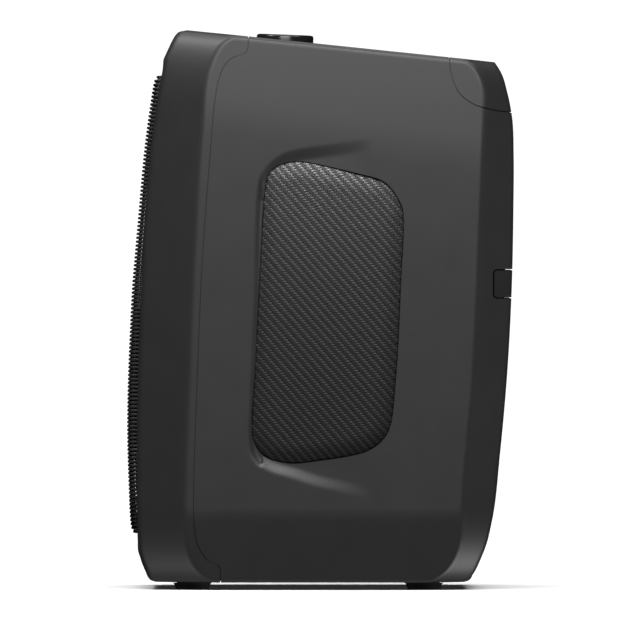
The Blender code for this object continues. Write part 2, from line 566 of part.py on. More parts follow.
def build_base():
    for name, x, y in (("foot_front_left", -FOOT_X, FOOT_FRONT_Y), ("foot_front_right", FOOT_X, FOOT_FRONT_Y),
                       ("foot_rear_left", -FOOT_X, FOOT_REAR_Y), ("foot_rear_right", FOOT_X, FOOT_REAR_Y)):
        turned(name, [(7.0, 0), (9.4, UNDERSIDE - GAP), (4.0, UNDERSIDE - GAP), (4.0, 9.5)],
               ((0.015, 0.015, 0.015), 0.8), centre=(x, y, 0), steps=24)
    x, y, pivot = PENDULUM_X, PENDULUM_Y, PENDULUM_PIVOT_Z
    case = box("tip_switch_case", (x - 15, y - 8, UNDERSIDE + WALL + GAP), (x + 15, y + 8, pivot + 5),
               ((0.5, 0.5, 0.48), 0.6))
    boolean(case, box("case room", (x - 13.4, y - 6.4, UNDERSIDE + WALL + 2), (x + 13.4, y + 6.4, pivot + 9)))
    boolean(case, turned("pin holes", [(1.8, -12), (1.8, 12)], centre=(x, y, pivot), axis="Y", steps=16))
    turned("tip_pivot_pin", [(1.5, -9), (1.5, 9)], (STEEL, 0.3, 1.0), centre=(x, y, pivot), axis="Y",
           steps=16)
    swing = turned("tip_pendulum", [(3.4, -3), (3.4, 3)], ((0.6, 0.5, 0.3), 0.4, 1.0), centre=(x, y, pivot),
                   axis="Y", steps=20)
    boolean(swing, box("pendulum arm", (x - 1.2, y - 1.5, pivot - 14), (x + 1.2, y + 1.5, pivot - 2.6)),
            "UNION")
    boolean(swing, turned("pendulum bob", [(5, -4), (5, 4)], centre=(x, y, pivot - 14.5), axis="Y",
                          steps=20), "UNION")
    boolean(swing, turned("pendulum bore", [(1.8, -9), (1.8, 9)], centre=(x, y, pivot), axis="Y",
                          steps=16))

    box("terminal_block", (34, 36, UNDERSIDE + WALL + GAP), (62, 52, 24), ((0.8, 0.8, 0.76), 0.5))
    grommet = [(3.4, -9), (5.6, -9), (7.5, -6.2), (7.5, -3.5), (5.0, -3.5), (5.0, -0.5), (4.6, -0.1),
               (3.4, -0.1)]
    turned("cord_gland", grommet, ((0.015, 0.015, 0.015), 0.7), centre=GLAND, axis="Y", steps=24,
           tilt=GLAND_TILT, bored=True)
    for i, (x, z) in enumerate(SCREW_PLACES):
        y = smooth(REAR_FACE, z)
        turned("shell_screw_%d" % (i + 1), [(1.5, -11), (1.5, -1.4), (3.2, -1.4), (3.2, -0.4), (2.2, 0.1)],
               (STEEL, 0.35, 1.0), centre=(x, y, z), axis="Y", steps=16)


build_casing()
build_grille()
build_filter()
build_pads()
build_controls()
build_element()
build_fan()
build_base()
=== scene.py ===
"""Looks of the ceramic space heater: fine casing shells, ribbed grille, twill side pads, controls, louvred
filter cover and procedural materials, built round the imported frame. Lengths are in millimetres until a mesh
is made. The stage, its lamps and the camera are in metres."""
import math

import bmesh
import bpy
import numpy as np
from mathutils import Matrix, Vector


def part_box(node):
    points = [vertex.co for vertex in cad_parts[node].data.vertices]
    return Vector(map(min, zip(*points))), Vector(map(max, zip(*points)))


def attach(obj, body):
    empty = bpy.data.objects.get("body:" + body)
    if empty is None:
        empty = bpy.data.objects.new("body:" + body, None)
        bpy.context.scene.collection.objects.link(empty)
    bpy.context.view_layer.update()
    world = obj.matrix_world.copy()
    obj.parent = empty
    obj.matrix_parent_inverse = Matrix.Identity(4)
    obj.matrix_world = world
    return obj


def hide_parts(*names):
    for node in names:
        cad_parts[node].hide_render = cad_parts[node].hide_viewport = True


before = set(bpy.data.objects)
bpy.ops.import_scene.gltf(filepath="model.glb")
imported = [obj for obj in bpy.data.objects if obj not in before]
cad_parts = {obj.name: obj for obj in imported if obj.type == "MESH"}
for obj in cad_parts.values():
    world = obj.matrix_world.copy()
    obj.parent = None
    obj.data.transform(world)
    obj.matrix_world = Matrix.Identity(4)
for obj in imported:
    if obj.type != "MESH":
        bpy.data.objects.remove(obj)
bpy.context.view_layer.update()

MM = 0.001

# The outer form: half width, wall, seams, underside, and the sloping top from its front edge.
SIDE = 98.8
WALL = 3.0
SEAM_GAP = 0.45
UNDERSIDE = 3.5
BODY_HEIGHT = 258.4  # at mid depth
STRIP_WIDTHS = 22, 135, 14  # from the front face to its crease, along the side, and on to the rear face
TOP_FRONT = (-62.3, 262.2)
TOP_SLOPE = 0.1041

# Depths y of the front and rear faces and of the creases beside them, as (height z, depth y).
FRONT_FACE = [(3.5, -76.8), (3.9, -78.4), (4.5, -79.6), (5.5, -80.6), (7.6, -81.5), (11.3, -83.1),
              (15.1, -84.4), (18.6, -85.4), (22, -85.5), (30, -85.7), (80, -85.8), (125, -84.6),
              (170, -82.3), (208, -79.3),
              (236, -75.1), (240.8, -74.3), (243.9, -73.8), (246.4, -73.6), (248.4, -73.4), (251, -72.3),
              (253.8, -71.0), (256.6, -69.7), (259.4, -68.1), (260.8, -67.0), (261.7, -65.2), (262.2, -62.3)]
REAR_FACE = [(3.5, 67.2), (3.9, 68.8), (4.9, 70.4), (6.8, 71.4), (8.7, 72.6), (10.6, 73.6), (14.3, 75.2),
             (20, 77.5), (32.6, 80.6), (63.6, 84.3), (103, 87.8),
             (141, 89.8), (180, 90.6), (204, 90.7), (221, 90.0), (233, 87.7), (242.5, 84.7), (247.2, 81.8)]
FRONT_CREASE = [(3.8, -63.5), (42, -63.2), (98, -61.2), (155, -58.8), (206, -55.4), (223, -53.7), (262, -50.6)]
REAR_CREASE = [(3.8, 65.5), (42, 66.8), (98, 71.5), (155, 74.1), (206, 75.7), (250, 75.7)]

# The bezel's seam and the handle cap's seam, as (depth y, height z).
SEAM = [(-34.1, 280), (-34.1, 266), (-34.1, 253.4), (-35.3, 251.4), (-38, 250.4), (-41, 249.3), (-43.8, 247),
        (-46.8, 241.6), (-49.4, 229.4), (-51.5, 206), (-55.3, 155), (-58.1, 89), (-59.3, 51), (-59.3, 32.6),
        (-58, 22.5), (-56, 18.1), (-52.3, 13.5), (-48.7, 12), (-47.2, 10.6), (-46.9, 8.5),
        (-46.9, 2), (-46.9, -8)]
CAP_SEAM = [(60.2, 270), (60.2, 258), (60.3, 248), (61.1, 241.6), (63.8, 234), (67.4, 229.8), (71.9, 227),
            (76.1, 225.6), (82.7, 224.2), (89.3, 223.5), (104, 223.3)]

# How the sides draw in: the bevels beyond the creases, their (width, height) corners, the drafts and the edges.
FRONT_TAPER = 0.73
REAR_TAPER = 1.0
FRONT_TOP_CORNER = (13.0, 36.0)
FRONT_BOTTOM_CORNER = (17.0, 38.0)
REAR_TOP_CORNER = (14.0, 20.0)
REAR_BOTTOM_CORNER = (23.0, 35.0)
DRAFT_TOP, DRAFT_TOP_SLOPE = 224.0, 0.036
CROWN_START, CROWN = 150.0, 0.00013
DRAFT_BOTTOM, DRAFT_BOTTOM_SLOPE = 35.0, 0.15
EDGE_ROUND, FRONT_ROUND = 1.8, 2.6

# The shaped recess round each side pad, open and fading towards the rear, and the pad in it.
RECESS_EDGE = [(24, 211.6), (11.8, 209.6), (-0.3, 207.9), (-11.1, 206.2), (-17.5, 204.2), (-23, 200.4),
               (-27.1, 195), (-29.5, 187), (-31.3, 136), (-33.2, 88), (-33.4, 68), (-32.0, 62.5), (-28.6, 58.2),
               (-22.4, 54.9), (-13.5, 52.3), (-3.6, 49), (4.8, 47), (14.7, 44.8), (24, 42)]
RECESS_DEEP, RECESS_START, RECESS_END = 1.5, -33.0, 24.0
RECESS_SLOPE, RECESS_FRONT_SLOPE = 5.6, 2.6
PAD_OUTLINE = [(-26, 187), (-24.2, 195), (-20.5, 198.4), (-15, 200.2), (-8.6, 200.7), (5.8, 197.9),
               (17.8, 195), (26.8, 192.7), (31.6, 190), (35.7, 184.8), (38.5, 179.2), (39.2, 172.6),
               (38.1, 146.8), (35.7, 100.5), (32.7, 76), (28.6, 69.4), (22.6, 65.2), (14.7, 62.8),
               (-0.3, 60.5), (-11.1, 59.2), (-17, 59.6), (-24.1, 61.4), (-29, 65.3), (-31.6, 71.2),
               (-32.1, 79.1), (-31, 97), (-28, 155.8)]
PAD_MIDDLE, PAD_HALF = (3.5, 130.0), (36.0, 72.0)
PAD_CROWN, PAD_ARCH, PAD_BOW = 100.0, 1.3, 0.25
PAD_STEP, PAD_ROLL, PAD_ROLL_DROP, PAD_BACK = 0.45, 9.0, 1.5, 2.4
PAD_FIT = 0.998
TWILL_PITCH, TWILL_TURN = 1.049, 3.0

# The grille: its outline, how far it stands proud at each height, its ribs and the wires behind them.
GRILLE_HALF, GRILLE_LOW, GRILLE_HIGH, GRILLE_ROUND = 75.0, 25.5, 241.7, 22.0
GRILLE_RISES = [(25.5, 3.0), (31, 3.4), (49.5, 4.0), (68, 4.6), (124, 4.6), (143, 4.4), (162, 3.8), (181, 3.35),
                (200, 3.1), (219, 3.2), (240, 3.5)]
GRILLE_EDGE, GRILLE_ROLL = 0.6, 4.2
WIRE_PITCH, WIRE_RADIUS, WIRE_BEHIND = 1.84, 0.5, 0.5
RIB_HALF_HEIGHT, RIB_HALF_DEPTH, RIB_FULLNESS = 0.64, 1.15, 1.7

# The rear window and its strips, the finger bar, the handle's pocket, the control panel, the knob and its well.
WINDOW_HALF, WINDOW_LOW, WINDOW_HIGH = 66.0, 42.0, 208.0
SLOT_PITCH, SLOT_HEIGHT = 4.5, 2.4
BAR_LOW, BAR_HIGH, BAR_FRONT = 137.0, 149.6, 81.5
BAR_GROOVE, BAR_CORNER = 0.6, 1.2
POCKET_HALF, POCKET_FRONT, POCKET_LOW, POCKET_HIGH = 46.0, 68.0, 226.6, 242.4
PANEL_HALF, PANEL_FRONT, PANEL_REAR = 48.0, -33.4, 16.0
KNOB_Y, KNOB_RADIUS, KNOB_TILT = -16.8, 13.4, math.radians(2.2)
KNOB_BASE, KNOB_TOP = 250.6, 260.6
WELL_RADIUS = 16.4
LENS_Y = 8.0
DIAL_STEPS = [(90, 1.6), (150, 3.0), (210, 4.4), (270, 5.8)]  # angle round the knob, length of the mark
GLAND = (58.0, 79.5, 27.0)
GLAND_TILT = math.radians(14.0)
SCREW_PLACES = [(-73, 60), (73, 60), (-73, 196), (73, 196)]
FOOT_X, FOOT_FRONT_Y, FOOT_REAR_Y = 72.0, -60.2, 48.4
FOOT_HOLE = [(4.3, -2), (4.3, 12)]
REACH, OUTER, LOFTY = 130.0, 120.0, 280.0  # past every side, past the front and rear, past the top

# Suns: azimuth and elevation in degrees, angular size, strength, and whether they light the floor only.
# Lamps: place, aim, size, power, and whether they light the pads only.
SUNS = [("overhead", 0, 90, 70, 2.4, False), ("floor wash", 0, 90, 70, 2.0, True),
        ("floor bounce", 0, -90, 100, 0.65, False), ("front bounce", 15, -40, 30, 0.4, False),
        ("rear bounce", 185, -40, 30, 1.2, False)]
LAMPS = [("wide softbox", (1.5, 0.0, 1.0), (0.1, 0.0, 0.2), (1.2, 0.5), 23.0, False),
         ("near softbox", (0.62, 0.0, 0.45), (0.1, 0.0, 0.2), (0.4, 0.15), 0.6, False),
         ("front softbox", (0.2, -0.45, 0.55), (0.0, -0.08, 0.25), (0.4, 0.2), 0.32, False),
         ("bezel softbox", (0.12, -0.40, 0.65), (0.08, -0.07, 0.25), (0.12, 0.12), 0.9, False),
         ("rear softbox", (0.2, 0.35, 0.7), (0.08, 0.06, 0.25), (0.2, 0.2), 0.45, False),
         ("pad softbox", (0.15, 0.0, 0.27), (0.1, 0.0, 0.17), (0.10, 0.03), 0.45, True)]
FLOOR_REACH = 2.5
BACKDROP = 1.1  # strength of the white that only the camera sees
CAMERA_DISTANCE, CAMERA_RISE, SEEN_WIDTH = 12.5, 0.0473, 0.2905
CAMERA_AIM = (-0.0045, 0.1309)


# ---- materials --------------------

def node(tree, kind, **settings):
    """A new shader node with some of its settings."""
    made = tree.nodes.new(kind)
    for key, value in settings.items():
        setattr(made, key, value)
    return made


def surface(name, dark, light, rough, bump=0.1, grain=900.0, metallic=0.0, specular=0.5):
    """A moulded or metal surface: two close tones, roughness that varies, and a fine grain in relief."""
    made = bpy.data.materials.new(name)
    made.use_nodes = True
    tree = made.node_tree
    shader = tree.nodes["Principled BSDF"]
    shader.inputs["Metallic"].default_value = metallic
    shader.inputs["Specular IOR Level"].default_value = specular
    place = node(tree, "ShaderNodeTexCoord")
    broad = node(tree, "ShaderNodeTexNoise")
    broad.inputs["Scale"].default_value = 60.0
    broad.inputs["Detail"].default_value = 4.0
    tree.links.new(place.outputs["Object"], broad.inputs["Vector"])
    tone = node(tree, "ShaderNodeMix", data_type="RGBA")
    tone.inputs["A"].default_value = (*dark, 1)
    tone.inputs["B"].default_value = (*light, 1)
    tree.links.new(broad.outputs["Fac"], tone.inputs["Factor"])
    tree.links.new(tone.outputs["Result"], shader.inputs["Base Color"])
    spread = node(tree, "ShaderNodeMapRange")
    spread.inputs["To Min"].default_value = rough[0]
    spread.inputs["To Max"].default_value = rough[1]
    tree.links.new(broad.outputs["Fac"], spread.inputs["Value"])
    tree.links.new(spread.outputs["Result"], shader.inputs["Roughness"])
    fine = node(tree, "ShaderNodeTexNoise")
    fine.inputs["Scale"].default_value = grain
    fine.inputs["Detail"].default_value = 2.0
    tree.links.new(place.outputs["Object"], fine.inputs["Vector"])
    relief = node(tree, "ShaderNodeBump")
    relief.inputs["Strength"].default_value = bump
    relief.inputs["Distance"].default_value = 0.0002
    tree.links.new(fine.outputs["Fac"], relief.inputs["Height"])
    tree.links.new(relief.outputs["Normal"], shader.inputs["Normal"])
    return made


def maths(tree, operation, first, second=None, third=None):
    """A Math node fed by other nodes' outputs or by numbers, and its output."""
    made = node(tree, "ShaderNodeMath", operation=operation)
    for socket, value in zip(made.inputs, (first, second, third)):
        if isinstance(value, (int, float)):
            socket.default_value = value
        elif value is not None:
            tree.links.new(value, socket)
    return made.outputs[0]


def woven(name, dark, light, rough, pitch, turn):
    """A two-over, two-under twill in relief, turned by some degrees: cross yarns on top in one diagonal stripe,
    upright ones in the next. Its colour is painted light: the cross yarns take the light tone as a painted
    highlight, and the upright yarns and the dips between yarns take the dark tone as painted shade. The pitch
    is the yarns' spacing in millimetres."""
    made = bpy.data.materials.new(name)
    made.use_nodes = True
    tree = made.node_tree
    shader = tree.nodes["Principled BSDF"]
    shader.inputs["Specular IOR Level"].default_value = 0.25
    place = node(tree, "ShaderNodeTexCoord")
    parts = node(tree, "ShaderNodeSeparateXYZ")
    tree.links.new(place.outputs["Object"], parts.inputs[0])
    even, odd = math.cos(math.radians(turn)) / (pitch * MM), math.sin(math.radians(turn)) / (pitch * MM)
    y, z = parts.outputs["Y"], parts.outputs["Z"]
    u = maths(tree, "MULTIPLY_ADD", y, even, maths(tree, "MULTIPLY", z, -odd))
    v = maths(tree, "MULTIPLY_ADD", y, odd, maths(tree, "MULTIPLY", z, even))
    u_cell, v_cell = maths(tree, "FLOOR", u), maths(tree, "FLOOR", v)
    u_across = maths(tree, "MULTIPLY_ADD", maths(tree, "FRACT", u), 2.0, -1.0)
    v_across = maths(tree, "MULTIPLY_ADD", maths(tree, "FRACT", v), 2.0, -1.0)
    stage = maths(tree, "FLOORED_MODULO", maths(tree, "ADD", u_cell, v_cell), 4.0)
    cross_on_top = maths(tree, "LESS_THAN", stage, 1.5)

    def yarn(across, along, float_start, high):
        dome = maths(tree, "MULTIPLY_ADD", maths(tree, "MULTIPLY", across, across), -0.45, 1.0)
        run = maths(tree, "FLOORED_MODULO", maths(tree, "SUBTRACT", along, float_start), 4.0)
        swell = maths(tree, "SINE", maths(tree, "MULTIPLY", run, math.pi / 2))
        return maths(tree, "MULTIPLY", dome, maths(tree, "MULTIPLY_ADD", swell, 0.6 * high, 0.4 * high))

    cross = yarn(v_across, maths(tree, "ADD", u, v_cell), 0.0, 1.0)
    upright = yarn(u_across, maths(tree, "ADD", v, u_cell), 2.0, 0.6)
    height = node(tree, "ShaderNodeMix")
    for socket, value in (("Factor", cross_on_top), ("A", upright), ("B", cross)):
        tree.links.new(value, height.inputs[socket])
    # Painted light: the colour follows the yarn's height, so the dips between yarns get painted shade and the
    # crests a painted highlight, and upright yarns are painted darker than cross yarns as painted shade.
    tone = node(tree, "ShaderNodeMix", data_type="RGBA")
    tone.inputs["A"].default_value = (*dark, 1)
    tone.inputs["B"].default_value = (*light, 1)
    tree.links.new(maths(tree, "MULTIPLY", height.outputs["Result"],
                         maths(tree, "MULTIPLY_ADD", cross_on_top, 0.9, 0.1)), tone.inputs["Factor"])
    tree.links.new(tone.outputs["Result"], shader.inputs["Base Color"])
    spread = node(tree, "ShaderNodeMapRange")
    spread.inputs["To Min"].default_value = rough[1]
    spread.inputs["To Max"].default_value = rough[0]
    tree.links.new(maths(tree, "MULTIPLY", height.outputs["Result"], cross_on_top), spread.inputs["Value"])
    tree.links.new(spread.outputs["Result"], shader.inputs["Roughness"])
    relief = node(tree, "ShaderNodeBump")
    relief.inputs["Strength"].default_value = 0.8
    relief.inputs["Distance"].default_value = 0.00025
    tree.links.new(height.outputs["Result"], relief.inputs["Height"])
    tree.links.new(relief.outputs["Normal"], shader.inputs["Normal"])
    return made


def grey(value):
    """A slightly cool grey."""
    return (value, value, value * 1.03)


SHELL = surface("shell plastic", grey(0.020), grey(0.023), (0.40, 0.45), bump=0.12, grain=1400)
TRIM = surface("trim plastic", grey(0.012), grey(0.015), (0.42, 0.50), bump=0.10, grain=1400)
WIRE = surface("grille wire", grey(0.006), grey(0.010), (0.42, 0.55), bump=0.10, grain=2500, specular=0.35)
# The pad's two tones are painted shade and a painted highlight on one black yarn, not two yarn colours.
PAD = woven("twill pad painted light and shade", grey(0.0015), grey(0.022), (0.34, 0.68), TWILL_PITCH, TWILL_TURN)
GLOSS = surface("polished black", grey(0.010), grey(0.013), (0.16, 0.22), bump=0.02, grain=600)
PANEL = surface("panel black", grey(0.014), grey(0.018), (0.30, 0.36), bump=0.05, grain=1600)
MARK = surface("dial marks", grey(0.45), grey(0.52), (0.5, 0.6), bump=0.05)
LENS = surface("indicator lens", (0.55, 0.10, 0.03), (0.7, 0.16, 0.05), (0.1, 0.16), bump=0.02)
RUBBER = surface("foot rubber", grey(0.003), grey(0.005), (0.75, 0.85), bump=0.25, grain=1800, specular=0.15)
INNER = surface("inner plastic", grey(0.022), grey(0.028), (0.55, 0.65), bump=0.15, grain=1200)
SWITCH = surface("switch plastic", grey(0.38), grey(0.44), (0.5, 0.6), bump=0.12, grain=1200)
BOARD = surface("circuit board", (0.02, 0.11, 0.05), (0.03, 0.16, 0.07), (0.3, 0.4), bump=0.15, grain=500)
RELAY = surface("relay case", (0.03, 0.05, 0.11), (0.04, 0.06, 0.14), (0.35, 0.42), bump=0.05)
MICA = surface("mica board", (0.33, 0.27, 0.18), (0.42, 0.36, 0.25), (0.5, 0.7), bump=0.2, grain=400)
CERAMIC = surface("ceramic", (0.68, 0.64, 0.57), (0.76, 0.73, 0.67), (0.6, 0.72), bump=0.2, grain=1500)
ALUMINIUM = surface("fin aluminium", grey(0.62), grey(0.72), (0.28, 0.42), bump=0.1, grain=700, metallic=1.0)
STEEL = surface("zinc steel", grey(0.48), grey(0.6), (0.26, 0.4), bump=0.08, grain=900, metallic=1.0)
BRASS = surface("brass", (0.6, 0.44, 0.18), (0.7, 0.54, 0.24), (0.25, 0.38), bump=0.08, metallic=1.0)
FOAM = surface("filter mesh", grey(0.010), grey(0.022), (0.85, 0.95), bump=1.0, grain=1100, specular=0.2)
FAN = surface("fan plastic", grey(0.055), grey(0.07), (0.38, 0.48), bump=0.1, grain=1200)

CARRIED = {
    "grille_retainer": INNER, "switch_shaft": STEEL, "rotary_switch_body": SWITCH,
    "control_board": BOARD, "power_relay": RELAY, "air_duct": INNER, "element_frame": MICA,
    "thermal_cutoff": STEEL, "fan_shroud": INNER, "fan_impeller": FAN, "motor_shaft": STEEL,
    "motor_case": STEEL, "motor_bracket": INNER, "tip_switch_case": SWITCH, "tip_pendulum": BRASS,
    "tip_pivot_pin": STEEL, "terminal_block": SWITCH, "filter_mesh": FOAM,
}
CARRIED.update({"ceramic_bar_%d" % i: CERAMIC for i in range(1, 5)})
CARRIED.update({"heat_fin_%d" % i: ALUMINIUM for i in range(1, 6)})


def dress_carried_nodes():
    """Gives each CAD node that stays visible its material."""
    for name, look in CARRIED.items():
        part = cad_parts[name]
        part.data.materials.clear()
        part.data.materials.append(look)


# ---- mesh helpers --------------------

def add_object(name, data):
    made = bpy.data.objects.new(name, data)
    bpy.context.collection.objects.link(made)
    return made


def mesh_object(name, points, faces, look=None, smooth_angle=None):
    """An object from points in millimetres, with its faces turned outwards."""
    mesh = bpy.data.meshes.new(name)
    mesh.from_pydata((np.asarray(points, float) * MM).tolist(), [], faces)
    shape = bmesh.new()
    shape.from_mesh(mesh)
    bmesh.ops.recalc_face_normals(shape, faces=shape.faces)
    if shape.calc_volume(signed=True) < 0:
        bmesh.ops.reverse_faces(shape, faces=shape.faces)
    shape.to_mesh(mesh)
    shape.free()
    made = add_object(name, mesh)
    if look:
        mesh.materials.append(look)
    if smooth_angle:
        mesh.shade_smooth()
        mesh.set_sharp_from_angle(angle=math.radians(smooth_angle))
    return made


def carve(target, cutters, operation="DIFFERENCE"):
    """Applies the Booleans at once, removes the cutters and shades the result."""
    for cutter in cutters:
        step = target.modifiers.new("cut", "BOOLEAN")
        step.operation = operation
        step.solver = "MANIFOLD"
        step.object = cutter
    graph = bpy.context.evaluated_depsgraph_get()
    cut = bpy.data.meshes.new_from_object(target.evaluated_get(graph))
    target.modifiers.clear()
    old = target.data
    target.data = cut
    bpy.data.meshes.remove(old)
    for cutter in cutters:
        bpy.data.objects.remove(cutter, do_unlink=True)
    cut.shade_smooth()
    cut.set_sharp_from_angle(angle=math.radians(32))


def soften(target, width):
    """Adds a bevel of the given width along the sharp edges."""
    step = target.modifiers.new("soft edges", "BEVEL")
    step.width = width * MM
    step.segments = 2
    step.limit_method = "ANGLE"
    step.angle_limit = math.radians(35)
    step.harden_normals = False


def prism(name, outline, along, low, high, look=None):
    """An outline swept along an axis. It holds the other two coordinates in X, Y, Z order."""
    place = "XYZ".index(along)
    points = []
    for value in (low, high):
        for pair in outline:
            point = list(pair)
            point.insert(place, value)
            points.append(point)
    count = len(outline)
    faces = [tuple(range(count)), tuple(range(2 * count - 1, count - 1, -1))]
    faces += [(i, (i + 1) % count, count + (i + 1) % count, count + i) for i in range(count)]
    return mesh_object(name, points, faces, look)


def block(name, low, high, look=None):
    outline = [(low[0], low[1]), (high[0], low[1]), (high[0], high[1]), (low[0], high[1])]
    return prism(name, outline, "Z", low[2], high[2], look)


def turned(name, profile, look=None, centre=(0, 0, 0), axis="Z", steps=64, tilt=0.0):
    """A (radius, along) profile turned about an axis, with its two ends closed by flat faces."""
    angle = np.linspace(0, 2 * math.pi, steps, endpoint=False)
    points = []
    for radius, along in profile:
        a, b, c = radius * np.cos(angle), radius * np.sin(angle), np.full(steps, along)
        x, y, z = {"Z": (a, b, c), "Y": (a, c, b), "X": (c, a, b)}[axis]
        y, z = y * math.cos(tilt) + z * math.sin(tilt), z * math.cos(tilt) - y * math.sin(tilt)
        points.append(np.stack([centre[0] + x, centre[1] + y, centre[2] + z], 1))
    faces = []
    for a in range(0, (len(profile) - 1) * steps, steps):
        b = a + steps
        faces += [(a + i, a + (i + 1) % steps, b + (i + 1) % steps, b + i) for i in range(steps)]
    faces += [tuple(range(steps)), tuple(range(len(profile) * steps - 1, (len(profile) - 1) * steps - 1, -1))]
    return mesh_object(name, np.concatenate(points), faces, look, smooth_angle=35)


def rounded_rectangle(half, low, high, radius, steps=10):
    """An outline that is even about zero in its first coordinate."""
    pairs = []
    for x, z, start in ((half - radius, low + radius, -90), (half - radius, high - radius, 0),
                        (radius - half, high - radius, 90), (radius - half, low + radius, 180)):
        for i in range(steps + 1):
            angle = math.radians(start + 90 * i / steps)
            pairs.append((x + radius * math.cos(angle), z + radius * math.sin(angle)))
    return pairs


def curve_through(points, steps=8, closed=False):
    """Points on a smooth curve through the given ones."""
    known = np.array(points, float)
    count = len(known)
    result = []
    for i in range(count if closed else count - 1):
        if closed:
            p0, p1, p2, p3 = (known[(i + k) % count] for k in (-1, 0, 1, 2))
        else:
            p0, p1, p2, p3 = (known[min(max(i + k, 0), count - 1)] for k in (-1, 0, 1, 2))
        d0, d1, d2 = (max(np.linalg.norm(b - a), 1e-6) ** 0.5 for a, b in ((p0, p1), (p1, p2), (p2, p3)))
        m1 = p2 - p1 + d1 * ((p1 - p0) / d0 - (p2 - p0) / (d0 + d1)) if np.any(p1 != p0) else p2 - p1
        m2 = p2 - p1 + d1 * ((p3 - p2) / d2 - (p3 - p1) / (d1 + d2)) if np.any(p3 != p2) else p2 - p1
        for k in range(steps):
            t = k / steps
            result.append(tuple((2 * t ** 3 - 3 * t ** 2 + 1) * p1 + (t ** 3 - 2 * t ** 2 + t) * m1
                                + (3 * t ** 2 - 2 * t ** 3) * p2 + (t ** 3 - t ** 2) * m2))
    if not closed:
        result.append(tuple(known[-1]))
    return result


def finish_piece(piece, body, slot, *nodes):
    """Says which body the piece rides on and the CAD nodes that it stands for. The slot argument is not used.
    """
    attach(piece, body)
    if nodes:
        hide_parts(*nodes)


# ---- the outer form --------------------

def smooth(table, at):
    """A smooth curve through (position, value) pairs, for arrays."""
    where, value = np.array(table, float).T
    slope = np.gradient(value, where)
    at = np.asarray(at, float)
    i = np.clip(np.searchsorted(where, at) - 1, 0, len(where) - 2)
    step = where[i + 1] - where[i]
    t = np.clip((at - where[i]) / step, 0, 1)
    return ((1 + 2 * t) * (1 - t) ** 2 * value[i] + t * (1 - t) ** 2 * step * slope[i]
            + t * t * (3 - 2 * t) * value[i + 1] + t * t * (t - 1) * step * slope[i + 1])


def top_at(y):
    """Height of the sloping top."""
    return TOP_FRONT[1] - TOP_SLOPE * (y - TOP_FRONT[0])


def corner_drop(reach, width):
    """How far an elliptical corner draws in, at a reach of 0 to 1 across it."""
    return width * (1 - np.sqrt(1 - np.clip(reach, 0, 1) ** 2))


def soft_min(a, b, blend=1.2):
    """The lower of two heights, with the crease between them rounded."""
    near = np.clip(0.5 + (b - a) / (2 * blend), 0, 1)
    return b * (1 - near) + a * near - blend * near * (1 - near)


def distance_to(outline, y, z):
    """Distance from points to a polyline, for arrays."""
    points = np.stack([y, z], -1)
    best = np.full(y.shape, 1e9)
    for a, b in zip(outline, outline[1:]):
        a, b = np.array(a), np.array(b)
        along = np.clip(((points - a) @ (b - a)) / max((b - a) @ (b - a), 1e-9), 0, 1)
        best = np.minimum(best, np.linalg.norm(points - (a + along[..., None] * (b - a)), axis=-1))
    return best


def inside(outline, y, z):
    """True where a point lies inside a closed outline."""
    result = np.zeros(y.shape, bool)
    for (y0, z0), (y1, z1) in zip(outline, outline[1:] + outline[:1]):
        if z0 != z1:
            crosses = ((z0 > z) != (z1 > z)) & (y < (y1 - y0) * (z - z0) / (z1 - z0) + y0)
            result ^= crosses
    return result


def recess_depth(y, z):
    """The wedge round the pad: a sloping wall down from its edge, and a floor that rises to the rear."""
    edge = curve_through(RECESS_EDGE, 6)
    depth = np.zeros(y.shape)
    near = (y > RECESS_START - 2) & (y < RECESS_END) & (z > 40) & (z < 213)
    reach = distance_to(edge, y[near], z[near]) * inside(edge, y[near], z[near])
    wall = np.where(y[near] < -27, RECESS_FRONT_SLOPE, RECESS_SLOPE)
    rise = np.clip(reach / wall, 0, 1)
    fade = np.clip((RECESS_END - y[near]) / (RECESS_END - RECESS_START), 0, 1)
    ends = np.clip(np.abs(z[near] - PAD_MIDDLE[1]) / PAD_HALF[1], 0, 1) ** 3
    slope = rise * rise * (3 - 2 * rise) * 0.4 + rise * 0.6
    depth[near] = RECESS_DEEP * (0.55 + 0.45 * ends) * fade ** 0.8 * slope
    return depth


def half_width(y, z, inset):
    """The body's half width x at a depth and a height: the lowest of its bevels, drafts and flat side."""
    above = z - top_at(y)
    below = UNDERSIDE - z
    front = SIDE + FRONT_TAPER * (y - smooth(FRONT_CREASE, z))
    front = front - corner_drop(1 + above / FRONT_TOP_CORNER[1], FRONT_TOP_CORNER[0])
    front = front - corner_drop(1 + below / FRONT_BOTTOM_CORNER[1], FRONT_BOTTOM_CORNER[0])
    rear = SIDE + REAR_TAPER * (smooth(REAR_CREASE, z) - y)
    rear = rear - corner_drop(1 + above / REAR_TOP_CORNER[1], REAR_TOP_CORNER[0])
    rear = rear - corner_drop(1 + below / REAR_BOTTOM_CORNER[1], REAR_BOTTOM_CORNER[0])
    upper = SIDE - DRAFT_TOP_SLOPE * (z - DRAFT_TOP + 0.15 * (y + 60))
    lower = SIDE - DRAFT_BOTTOM_SLOPE * (DRAFT_BOTTOM - z)
    side = soft_min(soft_min(upper, np.full(y.shape, SIDE), 0.3), lower, 0.5)
    side = side - CROWN * np.maximum(0, z - CROWN_START) ** 2
    width = soft_min(soft_min(front, side), rear)
    if inset:
        return width - inset
    width = width - corner_drop(1 + above / EDGE_ROUND, EDGE_ROUND)
    width = width - corner_drop(1 + below / EDGE_ROUND, EDGE_ROUND)
    width = width - corner_drop(1 - (y - smooth(FRONT_FACE, z)) / FRONT_ROUND, FRONT_ROUND)
    width = width - corner_drop(1 - (smooth(REAR_FACE, z) - y) / EDGE_ROUND, EDGE_ROUND)
    return width - recess_depth(y, z)


